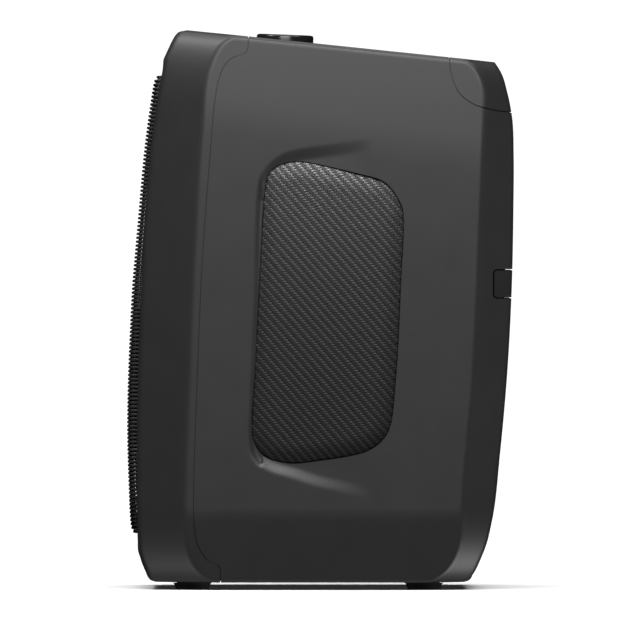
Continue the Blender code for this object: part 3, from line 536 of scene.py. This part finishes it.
def body_form(name, inset=0.0, step=0.8):
    """The whole outer form, drawn in by an inset, as one closed solid on a grid of about the given step."""
    arc = EDGE_ROUND * (1 - np.sin(np.radians(np.arange(90, -1, -15))))
    height = BODY_HEIGHT - 2 * inset
    rows = np.concatenate([arc, np.arange(EDGE_ROUND + step, height - EDGE_ROUND - step / 2, step),
                           (height - arc)[::-1]]) / height
    edge = FRONT_ROUND * (1 - np.sin(np.radians(np.arange(90, -1, -15))))
    front, side, rear = STRIP_WIDTHS
    fractions = [np.concatenate([edge, np.arange(FRONT_ROUND + step, front, step)]) / front,
                 np.linspace(0, 1, int(side / step)), np.linspace(0, 1, int(rear / step)) ** 0.8]

    def line(table, shift):
        low = UNDERSIDE + inset
        z = np.full(rows.shape, low)
        for _ in range(8):
            y = smooth(table, z) + shift
            z = low + rows * (top_at(y) - inset - low)
        return y, z

    lines = [line(FRONT_FACE, inset), line(FRONT_CREASE, 0),
             line(REAR_CREASE, 0), line(REAR_FACE, -inset)]
    ys, zs = [], []
    for (y0, z0), (y1, z1), steps in zip(lines, lines[1:], fractions):
        for t in steps if table_end(steps) else steps[:-1]:
            ys.append(y0 + (y1 - y0) * t)
            zs.append(z0 + (z1 - z0) * t)
    ys.append(lines[3][0])
    zs.append(lines[3][1])
    y, z = np.array(ys).T, np.array(zs).T
    return closed_form(name, half_width(y, z, inset), y, z)


def table_end(steps):
    """True if a strip stops short of the next line, so that its last column isn't a repeat."""
    return steps[-1] < 0.999


def closed_form(name, x, y, z):
    """Joins a right side, its mirror image and the bands between them into one closed mesh."""
    margin = 1.5  # of each band, beside the side's edge
    rows, columns = x.shape
    count = rows * columns
    index = np.arange(count).reshape(rows, columns)
    quads = np.stack([index[:-1, :-1], index[:-1, 1:], index[1:, 1:], index[1:, :-1]], -1).reshape(-1, 4)
    loop = np.concatenate([index[0, :-1], index[:-1, -1], index[-1, :0:-1], index[:0:-1, 0]])
    flat = np.stack([x.ravel(), y.ravel(), z.ravel()], 1)
    mirror = flat * (-1, 1, 1)
    near = flat[loop] - (margin, 0, 0)
    points = np.concatenate([flat, mirror, near, near * (-1, 1, 1)])
    ring = np.arange(len(loop))
    after = np.roll(ring, -1)
    first, second = 2 * count, 2 * count + len(loop)
    bands = [np.stack([loop[after], loop, first + ring, first + after], 1),
             np.stack([first + after, first + ring, second + ring, second + after], 1),
             np.stack([second + after, second + ring, count + loop, count + loop[after]], 1)]
    faces = np.concatenate([quads, quads[:, ::-1] + count] + bands)
    return mesh_object(name, points, faces.tolist())


def shifted(outline, dy=0.0, dz=0.0):
    return [(y + dy, z + dz) for y, z in outline]


def copy_of(source, name):
    return add_object(name, source.data.copy())


# ---- casing --------------------

def bar_region(name, grow):
    """The grip bar's outline with round corners, grown by a gap, from one side of the heater to the other."""
    outline = rounded_rectangle(20.0 + grow, BAR_LOW - grow, BAR_HIGH + grow, BAR_CORNER + grow, 6)
    return prism(name, [(BAR_FRONT + 20.0 + y, z) for y, z in outline], "X", -REACH, REACH)


def foot_holes(y):
    """Cutters for the stems of a pair of feet."""
    return [turned("foot hole", FOOT_HOLE, centre=(x, y, 0), steps=24) for x in (-FOOT_X, FOOT_X)]


def build_casing():
    """The bezel, main casing, handle cap with its pocket, the tongues behind the seams, and the grip bar."""
    outer = body_form("outer form")
    inner = body_form("inner form", WALL, 4.0)
    seam = curve_through(SEAM, 6)
    cap_line = curve_through(CAP_SEAM, 8)

    front = copy_of(outer, "front_bezel")
    front.data.materials.append(SHELL)
    region = seam + [(-OUTER, -8), (-OUTER, LOFTY)]
    carve(front, [prism("front region", region, "X", -REACH, REACH)], "INTERSECT")
    opening = rounded_rectangle(GRILLE_HALF + 0.5, GRILLE_LOW - 0.5, GRILLE_HIGH + 0.5, GRILLE_ROUND)
    cutters = [copy_of(inner, "hollow"), prism("opening", opening, "Y", -OUTER, -66.0)]
    carve(front, cutters + foot_holes(FOOT_FRONT_Y))
    finish_piece(front, "casing", "shell_plastic", "front_frame")

    shell = copy_of(outer, "main_casing")
    shell.data.materials.append(SHELL)
    region = shifted(seam, SEAM_GAP) + [(OUTER, -8), (OUTER, LOFTY)]
    carve(shell, [prism("main region", region, "X", -REACH, REACH)], "INTERSECT")
    cap_room = cap_line + [(OUTER, CAP_SEAM[-1][1]), (OUTER, LOFTY), (CAP_SEAM[0][0], LOFTY)]
    cutters = [copy_of(inner, "hollow"),
               prism("cap room", cap_room, "X", -REACH, REACH),
               block("rear window", (-WINDOW_HALF, 60, WINDOW_LOW), (WINDOW_HALF, 110, WINDOW_HIGH)),
               bar_region("bar groove", BAR_GROOVE),
               block("panel opening", (-PANEL_HALF - 0.3, PANEL_FRONT - 0.3, 240),
                     (PANEL_HALF + 0.3, PANEL_REAR + 0.3, 275))]
    pad_line = curve_through(PAD_OUTLINE, 6, closed=True)
    for side in (1, -1):
        cutters.append(prism("pad pocket", pad_line, "X", *sorted((side * (SIDE - 2.6), side * 110))))
    cutters += foot_holes(FOOT_REAR_Y)
    for x, z in SCREW_PLACES:
        hole = [(1.9, -9), (1.9, -1.5), (3.7, -1.5), (3.7, 6)]
        place = (x, float(smooth(REAR_FACE, z)), z)
        cutters.append(turned("screw hole", hole, centre=place, axis="Y", steps=32))
    cutters.append(turned("gland hole", [(5.4, -12), (5.4, 8)], centre=GLAND, axis="Y", steps=32,
                          tilt=GLAND_TILT))
    carve(shell, cutters)
    finish_piece(shell, "casing", "shell_plastic", "main_shell")

    cap = copy_of(outer, "handle_cap")
    cap.data.materials.append(SHELL)
    region = shifted(cap_line, SEAM_GAP, SEAM_GAP) + [(OUTER, LOFTY), (CAP_SEAM[0][0] + SEAM_GAP, LOFTY)]
    carve(cap, [prism("cap region", region, "X", -REACH, REACH)], "INTERSECT")
    carve(cap, [copy_of(inner, "hollow")])
    walls = block("pocket walls", (-POCKET_HALF - 2, POCKET_FRONT - 2, POCKET_LOW - 2),
                  (POCKET_HALF + 2, 110, POCKET_HIGH + 2))
    carve(walls, [body_form("walls limit", 1.2, 2.0)], "INTERSECT")
    carve(cap, [walls], "UNION")
    mouth = rounded_rectangle(POCKET_HALF, POCKET_LOW, POCKET_HIGH, 5.0)
    carve(cap, [prism("pocket room", mouth, "Y", POCKET_FRONT, 110)])
    finish_piece(cap, "casing", "shell_plastic", "rear_handle_cap")

    for name, line, lift in (("seam_tongue", seam, 0.0), ("cap_tongue", cap_line, 1.2)):
        tongue = body_form(name, 0.8, 2.0)
        tongue.data.materials.append(TRIM)
        band = shifted(line, -1.2, -lift) + shifted(line, 1.6, lift)[::-1]
        carve(tongue, [prism("tongue band", band, "X", -REACH, REACH)], "INTERSECT")
        carve(tongue, [copy_of(inner, "hollow")])
        finish_piece(tongue, "casing", "trim_plastic")

    bar = copy_of(outer, "grip_bar")
    bar.data.materials.append(TRIM)
    carve(bar, [bar_region("bar region", 0.0)], "INTERSECT")
    carve(bar, [body_form("bar hollow", WALL - 0.3, 4.0)])
    soften(bar, 0.5)
    finish_piece(bar, "filter", "trim_plastic", "filter_grip_bar")
    for helper in (outer, inner):
        bpy.data.objects.remove(helper, do_unlink=True)


# ---- front grille --------------------

def tube_along(path, radius, sides):
    """Points and faces of a thin wire along a path."""
    path = np.asarray(path)
    tangent = np.gradient(path, axis=0)
    tangent /= np.linalg.norm(tangent, axis=1)[:, None]
    upright = np.array([0.0, 0.0, 1.0]) if abs(tangent[len(path) // 2][2]) < 0.7 else np.array([1.0, 0.0, 0.0])
    across = np.cross(tangent, upright)
    across /= np.linalg.norm(across, axis=1)[:, None]
    third = np.cross(tangent, across)
    angle = 2 * math.pi * (np.arange(sides) + 0.5) / sides
    rings = (path[:, None] + radius * (np.cos(angle)[None, :, None] * across[:, None]
                                       + np.sin(angle)[None, :, None] * third[:, None]))
    points = rings.reshape(-1, 3)
    a = np.arange((len(path) - 1) * sides).reshape(-1, sides)
    b = np.roll(a, -1, axis=1)
    faces = np.stack([a, b, b + sides, a + sides], -1).reshape(-1, 4).tolist()
    last = len(points) - sides
    faces += [list(range(sides))[::-1], list(range(last, len(points)))]
    return points, faces


def dome_depth(x, z):
    """Depth of the grille's front surface, and the distance in from its outline."""
    half, radius = GRILLE_HALF - GRILLE_EDGE, GRILLE_ROUND - GRILLE_EDGE
    middle = (GRILLE_LOW + GRILLE_HIGH) / 2
    tall = (GRILLE_HIGH - GRILLE_LOW) / 2 - GRILLE_EDGE
    qx = np.abs(x) - (half - radius)
    qz = np.abs(z - middle) - (tall - radius)
    outside = np.hypot(np.maximum(qx, 0), np.maximum(qz, 0)) + np.minimum(np.maximum(qx, qz), 0)
    within = radius - outside
    roll = np.sqrt(1 - np.clip(1 - within / GRILLE_ROLL, 0, 1) ** 2)
    rise = (smooth(GRILLE_RISES, z) - RIB_HALF_DEPTH) * roll
    return smooth(FRONT_FACE, z) - rise, within


def wire_path(fixed, along_x, behind):
    """One wire over the dome, from edge to edge, at points that crowd towards its ends, where it bends."""
    middle = (GRILLE_LOW + GRILLE_HIGH) / 2
    span = np.linspace(-80, 80, 3201) if along_x else np.linspace(-112, 112, 3201) + middle
    x, z = (span, np.full(span.shape, fixed)) if along_x else (np.full(span.shape, fixed), span)
    y, within = dome_depth(x, z)
    held = within > 0
    if held.sum() < 24:
        return None
    x, y, z = x[held], y[held] + behind, z[held]
    start = (x[0], y[0] + 2.5, z[0])
    end = (x[-1], y[-1] + 2.5, z[-1])
    path = np.concatenate([[start], np.stack([x, y, z], 1), [end]])
    length = np.concatenate([[0], np.cumsum(np.linalg.norm(np.diff(path, axis=0), axis=1))])
    places = length[-1] * (1 - np.cos(np.linspace(0, math.pi, 64))) / 2
    return np.stack([np.interp(places, length, path[:, k]) for k in range(3)], 1)


def build_grille():
    """Deep ribs across the dome, with upright wires behind them."""
    points, faces, first = [], [], 0
    middle = (GRILLE_LOW + GRILLE_HIGH) / 2
    rows = int((GRILLE_HIGH - GRILLE_LOW) / WIRE_PITCH / 2)
    columns = int((GRILLE_HALF - 0.8) / WIRE_PITCH)
    ribs = [(middle + i * WIRE_PITCH, True) for i in range(-rows, rows + 1)]
    for fixed, is_rib in ribs + [(i * WIRE_PITCH, False) for i in range(-columns, columns + 1)]:
        path = wire_path(fixed, is_rib, 0.0 if is_rib else WIRE_BEHIND)
        if path is None:
            continue
        sides = 8 if is_rib else 4
        tube, quads = tube_along(path, RIB_HALF_HEIGHT if is_rib else WIRE_RADIUS, sides)
        if is_rib:
            centre = np.repeat(path, sides, axis=0)
            tube[:, 1] = centre[:, 1] + (tube[:, 1] - centre[:, 1]) * RIB_HALF_DEPTH / RIB_HALF_HEIGHT
            rise = (tube[:, 2] - centre[:, 2]) * RIB_FULLNESS
            tube[:, 2] = centre[:, 2] + np.clip(rise, -RIB_HALF_HEIGHT, RIB_HALF_HEIGHT)
        points.append(tube)
        faces += [[first + i for i in face] for face in quads]
        first += len(tube)
    mesh = bpy.data.meshes.new("wire_grille")
    mesh.from_pydata((np.concatenate(points) * MM).tolist(), [], faces)
    mesh.materials.append(WIRE)
    mesh.shade_smooth()
    finish_piece(add_object("wire_grille", mesh), "casing", "grille_mesh", "front_grille")


# ---- side pads --------------------

def build_pads():
    """The side pads: a crowned grid of small faces inside the outline, rolled at its edge, with a flat back."""
    outline = curve_through(PAD_OUTLINE, 6, closed=True)
    outline = outline + outline[:1]
    middle = np.array(PAD_MIDDLE)
    y, z = np.meshgrid(np.arange(-34, 41, PAD_STEP), np.arange(57, 203, PAD_STEP))
    shrunk = [tuple(middle + (np.array(p) - middle) * PAD_FIT) for p in outline]
    held = inside(shrunk[:-1], y, z)
    within = distance_to(shrunk, y, z)
    reach = np.clip(1 - within / PAD_ROLL, 0, 1)
    height = PAD_CROWN - PAD_ROLL_DROP * reach ** 2
    height = height - PAD_ARCH * ((z - middle[1]) / PAD_HALF[1]) ** 2
    height = height - PAD_BOW * ((y - middle[0]) / PAD_HALF[0]) ** 2
    index = -np.ones(y.shape, int)
    index[held] = np.arange(held.sum())
    full = held[:-1, :-1] & held[:-1, 1:] & held[1:, 1:] & held[1:, :-1]
    corners = (index[:-1, :-1], index[:-1, 1:], index[1:, 1:], index[1:, :-1])
    quads = np.stack([corner[full] for corner in corners], 1)
    for hand, side in (("left", -1), ("right", 1)):
        name = "twill_pad_" + hand
        points = np.stack([side * height[held], y[held], z[held]], 1)
        mesh = bpy.data.meshes.new(name)
        mesh.from_pydata((points * MM).tolist(), [], quads.tolist())
        shape = bmesh.new()
        shape.from_mesh(mesh)
        loose = [v for v in shape.verts if not v.link_faces]
        bmesh.ops.delete(shape, geom=loose, context="VERTS")
        rim = [e for e in shape.edges if e.is_boundary]
        skirt = bmesh.ops.extrude_edge_only(shape, edges=rim)
        fresh = [g for g in skirt["geom"] if isinstance(g, bmesh.types.BMVert)]
        for v in fresh:
            v.co.x = side * (SIDE - PAD_BACK) * MM
        bmesh.ops.contextual_create(shape, geom=[g for g in skirt["geom"] if isinstance(g, bmesh.types.BMEdge)])
        bmesh.ops.recalc_face_normals(shape, faces=shape.faces)
        shape.to_mesh(mesh)
        shape.free()
        mesh.materials.append(PAD)
        mesh.shade_smooth()
        mesh.set_sharp_from_angle(angle=math.radians(75))
        finish_piece(add_object(name, mesh), "casing", "pad_weave", "side_pad_" + hand)


# ---- controls --------------------

def tilted(along, across=0.0):
    """A point on the knob's tilted axis: across is to the rear, along is up from the knob's base."""
    return (0.0, KNOB_Y + across * math.cos(KNOB_TILT) + along * math.sin(KNOB_TILT),
            KNOB_BASE + along * math.cos(KNOB_TILT) - across * math.sin(KNOB_TILT))


def build_controls():
    """The panel with its well and lamp, the knob with its pointer, and the marks round the knob."""
    outline = rounded_rectangle(PANEL_HALF, PANEL_FRONT, PANEL_REAR, 4.0, 6)
    panel = prism("panel_plate", outline, "Z", 240, 275, PANEL)
    slab = [(y, top_at(y) - drop) for y, drop in ((-40, 3), (20, 3), (20, 0.15), (-40, 0.15))]
    carve(panel, [prism("panel slab", slab, "X", -60, 60)], "INTERSECT")
    foot = tilted(0)
    wall = [(WELL_RADIUS + 0.5, -2.8), (WELL_RADIUS + 0.5, 5.4)]
    carve(panel, [turned("well wall", wall, centre=foot, tilt=KNOB_TILT)], "UNION")
    well = [(WELL_RADIUS - 0.9, -0.8), (WELL_RADIUS - 0.9, 7.0),
            (WELL_RADIUS + 2.2, 9.4), (WELL_RADIUS + 2.2, 16)]
    lens_place = (0, LENS_Y, float(top_at(LENS_Y)))
    carve(panel, [turned("well room", well, centre=foot, tilt=KNOB_TILT, steps=96),
                  turned("shaft hole", [(3.4, -8), (3.4, 4)], centre=foot, tilt=KNOB_TILT),
                  turned("lens hole", [(2.6, -8), (2.6, 4)], centre=lens_place)])
    finish_piece(panel, "casing", "panel_gloss", "control_panel")

    lens = turned("power_lens", [(2.2, -5), (2.2, -0.5), (1.9, -0.2), (1.2, 0.0), (0.4, 0.05)], LENS,
                  centre=lens_place, steps=48)
    finish_piece(lens, "casing", "lens", "indicator_lens")

    high = KNOB_TOP - KNOB_BASE
    skirt = KNOB_RADIUS + 0.9
    profile = [(skirt - 0.3, 0), (skirt, 0.3), (skirt, 1.3), (skirt - 0.25, 1.7), (KNOB_RADIUS, 2.6),
               (KNOB_RADIUS, high - 1.1), (KNOB_RADIUS - 0.12, high - 0.65), (KNOB_RADIUS - 0.42, high - 0.28),
               (KNOB_RADIUS - 0.9, high - 0.08), (KNOB_RADIUS - 1.5, high), (KNOB_RADIUS - 3.0, high - 0.12),
               (2.0, high - 0.3)]
    knob = turned("dial_knob", profile, GLOSS, centre=foot, tilt=KNOB_TILT, steps=128)
    carve(knob, [turned("bore", [(2.9, -2), (2.9, 5.5)], centre=foot, tilt=KNOB_TILT, steps=32)])
    finish_piece(knob, "knob", "knob_gloss", "control_knob")
    near, far = tilted(high - 0.22, -KNOB_RADIUS + 2.2), tilted(high - 0.22, -KNOB_RADIUS + 7.2)
    pointer = block("dial_pointer", (-0.5, near[1], far[2] - 0.4), (0.5, far[1], near[2] + 0.05), MARK)
    soften(pointer, 0.12)
    finish_piece(pointer, "knob", "knob_gloss")

    centre = np.array([0.0, KNOB_Y])
    for i, (angle, length) in enumerate(DIAL_STEPS):
        inner_end, outer_end = WELL_RADIUS + 3.4, WELL_RADIUS + 3.4 + length
        turn = math.radians(angle)
        outward = np.array([math.sin(turn), -math.cos(turn)])
        sideways = np.array([outward[1], -outward[0]]) * 0.45
        corners = [centre + outward * r + sideways * s for r, s in
                   ((inner_end, -1), (outer_end, -1), (outer_end, 1), (inner_end, 1))]
        corners = [(x, min(y, PANEL_REAR - 1)) for x, y in corners]
        points = [(x, y, top_at(y) - drop) for drop in (0.3, 0.08) for x, y in corners]
        faces = [(0, 1, 2, 3), (4, 5, 6, 7), (0, 1, 5, 4), (1, 2, 6, 5), (2, 3, 7, 6), (3, 0, 4, 7)]
        mark = mesh_object("dial_mark_%d" % (i + 1), points, faces, MARK)
        finish_piece(mark, "casing", "panel_gloss")


# ---- rear --------------------

def rear_slab(name, half, low, high, back, front, look=None):
    """A slab that follows the rear face, between two depths behind it."""
    heights = np.linspace(low, high, int((high - low) / 3.0) + 2)
    face = smooth(REAR_FACE, heights)
    outline = list(zip(face + front, heights)) + list(zip(face[::-1] + back, heights[::-1]))
    return prism(name, outline, "X", -half, half, look)


def slot_outline(x0, x1, low, high):
    """A round-ended slot."""
    radius = (high - low) / 2
    pairs = []
    for x, start in ((x1 - radius, -90), (x0 + radius, 90)):
        for i in range(9):
            angle = math.radians(start + 180 * i / 8)
            pairs.append((x + radius * math.cos(angle), (low + high) / 2 + radius * math.sin(angle)))
    return pairs


def build_rear():
    """The louvred filter cover, the strips beside it, the cable gland and the housing screws."""
    cover = rear_slab("louvre_cover", WINDOW_HALF - 0.4, WINDOW_LOW + 0.4, WINDOW_HIGH - 0.4, -2.6, 0.0, SHELL)
    carve(cover, [block("bar channel", (-REACH, 60, BAR_LOW - BAR_GROOVE),
                        (REACH, 110, BAR_HIGH + BAR_GROOVE))])
    backing = rear_slab("bar backing", WINDOW_HALF - 1.6, BAR_LOW - 6, BAR_HIGH + 6, -6.0, -WALL - 0.35)
    carve(cover, [backing], "UNION")
    carve(cover, [block("lower web", (-64, 85, BAR_LOW - 5.5), (64, 88, BAR_LOW - 1.2)),
                  block("upper web", (-64, 85, BAR_HIGH + 1.2), (64, 88, BAR_HIGH + 5.5))], "UNION")
    slots = []
    for low, high in ((50.0, 131.0), (157.0, 204.0)):
        for i in range(int((high - low) / SLOT_PITCH)):
            z = low + i * SLOT_PITCH
            for x0, x1 in ((-60, -31.5), (-29.5, -1), (1, 29.5), (31.5, 60)):
                slots.append(prism("slot", slot_outline(x0, x1, z, z + SLOT_HEIGHT), "Y", 70, 110))
    carve(cover, slots)
    finish_piece(cover, "filter", "shell_plastic", "filter_cover")

    for side in (-1, 1):
        strip = rear_slab("window_strip", WINDOW_HALF + 3, WINDOW_LOW - 2, WINDOW_HIGH + 2,
                          -WALL - 1.5, -WALL - 0.3)
        carve(strip, [block("strip room", (-90 if side > 0 else 1 - WINDOW_HALF, 40, 0),
                            (WINDOW_HALF - 1 if side > 0 else 90, 110, 260))])
        strip.name = "window_strip_right" if side > 0 else "window_strip_left"
        strip.data.materials.append(TRIM)
        finish_piece(strip, "casing", "trim_plastic")

    gland = turned("cable_gland", [(5.6, -9), (7.5, -6.2), (7.5, -3.5), (5.1, -3.5), (5.1, -0.6),
                                   (4.95, -0.3), (4.6, -0.15), (4.1, -0.2), (3.7, -0.6), (3.5, -2.2)],
                   RUBBER, centre=GLAND, axis="Y", steps=64, tilt=GLAND_TILT)
    finish_piece(gland, "casing", "foot_rubber", "cord_gland")

    profile = [(1.5, -11), (1.5, -1.4), (3.1, -1.4), (3.2, -1.2),
               (3.15, -0.7), (2.8, -0.35), (2.1, -0.1), (1.0, 0.05)]
    for i, (x, z) in enumerate(SCREW_PLACES):
        y = float(smooth(REAR_FACE, z))
        screw = turned("housing_screw_%d" % (i + 1), profile, STEEL, centre=(x, y, z), axis="Y", steps=40)
        carve(screw, [block("cross a", (x - 1.7, y - 1.0, z - 0.35), (x + 1.7, y + 2, z + 0.35))])
        carve(screw, [block("cross b", (x - 0.35, y - 1.0, z - 1.7), (x + 0.35, y + 2, z + 1.7))])
        finish_piece(screw, "casing", "steel", "shell_screw_%d" % (i + 1))


def build_feet():
    """Rubber feet, turned round the middle of each CAD foot."""
    for name in ("foot_front_left", "foot_front_right", "foot_rear_left", "foot_rear_right"):
        low, high = (np.array(corner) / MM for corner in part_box(name))
        x, y = (low[0] + high[0]) / 2, (low[1] + high[1]) / 2
        profile = [(6.0, 0.35), (6.3, 0.0), (7.2, 0.0), (7.6, 0.2), (7.8, 0.6),
                   (8.3, 2.2), (8.7, 2.9), (9.2, 3.2), (4.0, 3.2), (4.0, 9.5)]
        foot = turned("rubber_" + name, profile, RUBBER, centre=(x, y + 0.3, 0), steps=64)
        finish_piece(foot, "casing", "foot_rubber", name)


# ---- stage, lights and camera --------------------

def area_light(name, place, aim, size, power):
    """A rectangular lamp that the camera doesn't see."""
    data = bpy.data.lights.new(name, "AREA")
    data.shape = "RECTANGLE"
    data.size, data.size_y = size
    data.energy = power
    lamp = add_object(name, data)
    lamp.location = place
    lamp.rotation_euler = (Vector(aim) - Vector(place)).to_track_quat("-Z", "Y").to_euler()
    lamp.visible_camera = False
    return lamp


def build_stage():
    """The floor, a white world that only the camera sees, the suns and the lamps."""
    far = FLOOR_REACH
    points = [(-far, -far, 0), (far, -far, 0), (far, far, 0), (-far, far, 0)]
    mesh = bpy.data.meshes.new("floor")
    mesh.from_pydata(points, [], [(0, 1, 2, 3)])
    floor = add_object("floor", mesh)
    mesh.materials.append(surface("pale floor", (0.80, 0.80, 0.80), (0.82, 0.82, 0.82), (0.85, 0.9), bump=0.02,
                                  grain=40))
    floor.visible_diffuse = False
    floor.visible_glossy = False
    floor.visible_shadow = False

    world = bpy.data.worlds.new("studio")
    bpy.context.scene.world = world
    world.use_nodes = True
    tree = world.node_tree
    tree.nodes["Background"].inputs["Color"].default_value = (1, 1, 1, 1)
    tree.nodes["Background"].inputs["Strength"].default_value = 0.0
    seen = node(tree, "ShaderNodeBackground")
    seen.inputs["Color"].default_value = (1, 1, 1, 1)
    seen.inputs["Strength"].default_value = BACKDROP
    rays = node(tree, "ShaderNodeLightPath")
    choice = node(tree, "ShaderNodeMixShader")
    tree.links.new(rays.outputs["Is Camera Ray"], choice.inputs["Fac"])
    tree.links.new(tree.nodes["Background"].outputs[0], choice.inputs[1])
    tree.links.new(seen.outputs[0], choice.inputs[2])
    tree.links.new(choice.outputs[0], tree.nodes["World Output"].inputs["Surface"])

    for name, azimuth, elevation, spread, power, floor_only in SUNS:
        data = bpy.data.lights.new(name, "SUN")
        data.energy = power
        data.angle = math.radians(spread)
        lamp = add_object(name, data)
        turn, lift = math.radians(azimuth), math.radians(elevation)
        back = Vector((math.sin(turn) * math.cos(lift), -math.cos(turn) * math.cos(lift), math.sin(lift)))
        lamp.rotation_euler = back.to_track_quat("Z", "Y").to_euler()
        if floor_only:
            lit = bpy.data.collections.new("floor only")
            lit.objects.link(floor)
            lamp.light_linking.receiver_collection = lit
    pads = bpy.data.collections.new("pads only")
    for hand in ("left", "right"):
        pads.objects.link(bpy.data.objects["twill_pad_" + hand])
    for name, place, aim, size, power, pads_only in LAMPS:
        lamp = area_light(name, place, aim, size, power)
        if pads_only:
            lamp.light_linking.receiver_collection = pads


def build_camera():
    """A camera far away with a long lens, so that the side is seen almost without perspective."""
    lens_data = bpy.data.cameras.new("camera")
    camera = add_object("camera", lens_data)
    bpy.context.scene.camera = camera
    aim = Vector((SIDE * MM, *CAMERA_AIM))
    camera.location = aim + Vector((CAMERA_DISTANCE, 0, CAMERA_RISE))
    camera.rotation_euler = (aim - camera.location).to_track_quat("-Z", "Y").to_euler()
    lens_data.sensor_width = 36.0
    lens_data.lens = lens_data.sensor_width * CAMERA_DISTANCE / SEEN_WIDTH
    lens_data.clip_end = 100.0


bpy.context.scene.view_settings.view_transform = "Standard"
dress_carried_nodes()
build_casing()
build_grille()
build_pads()
build_controls()
build_rear()
build_feet()
build_stage()
build_camera()
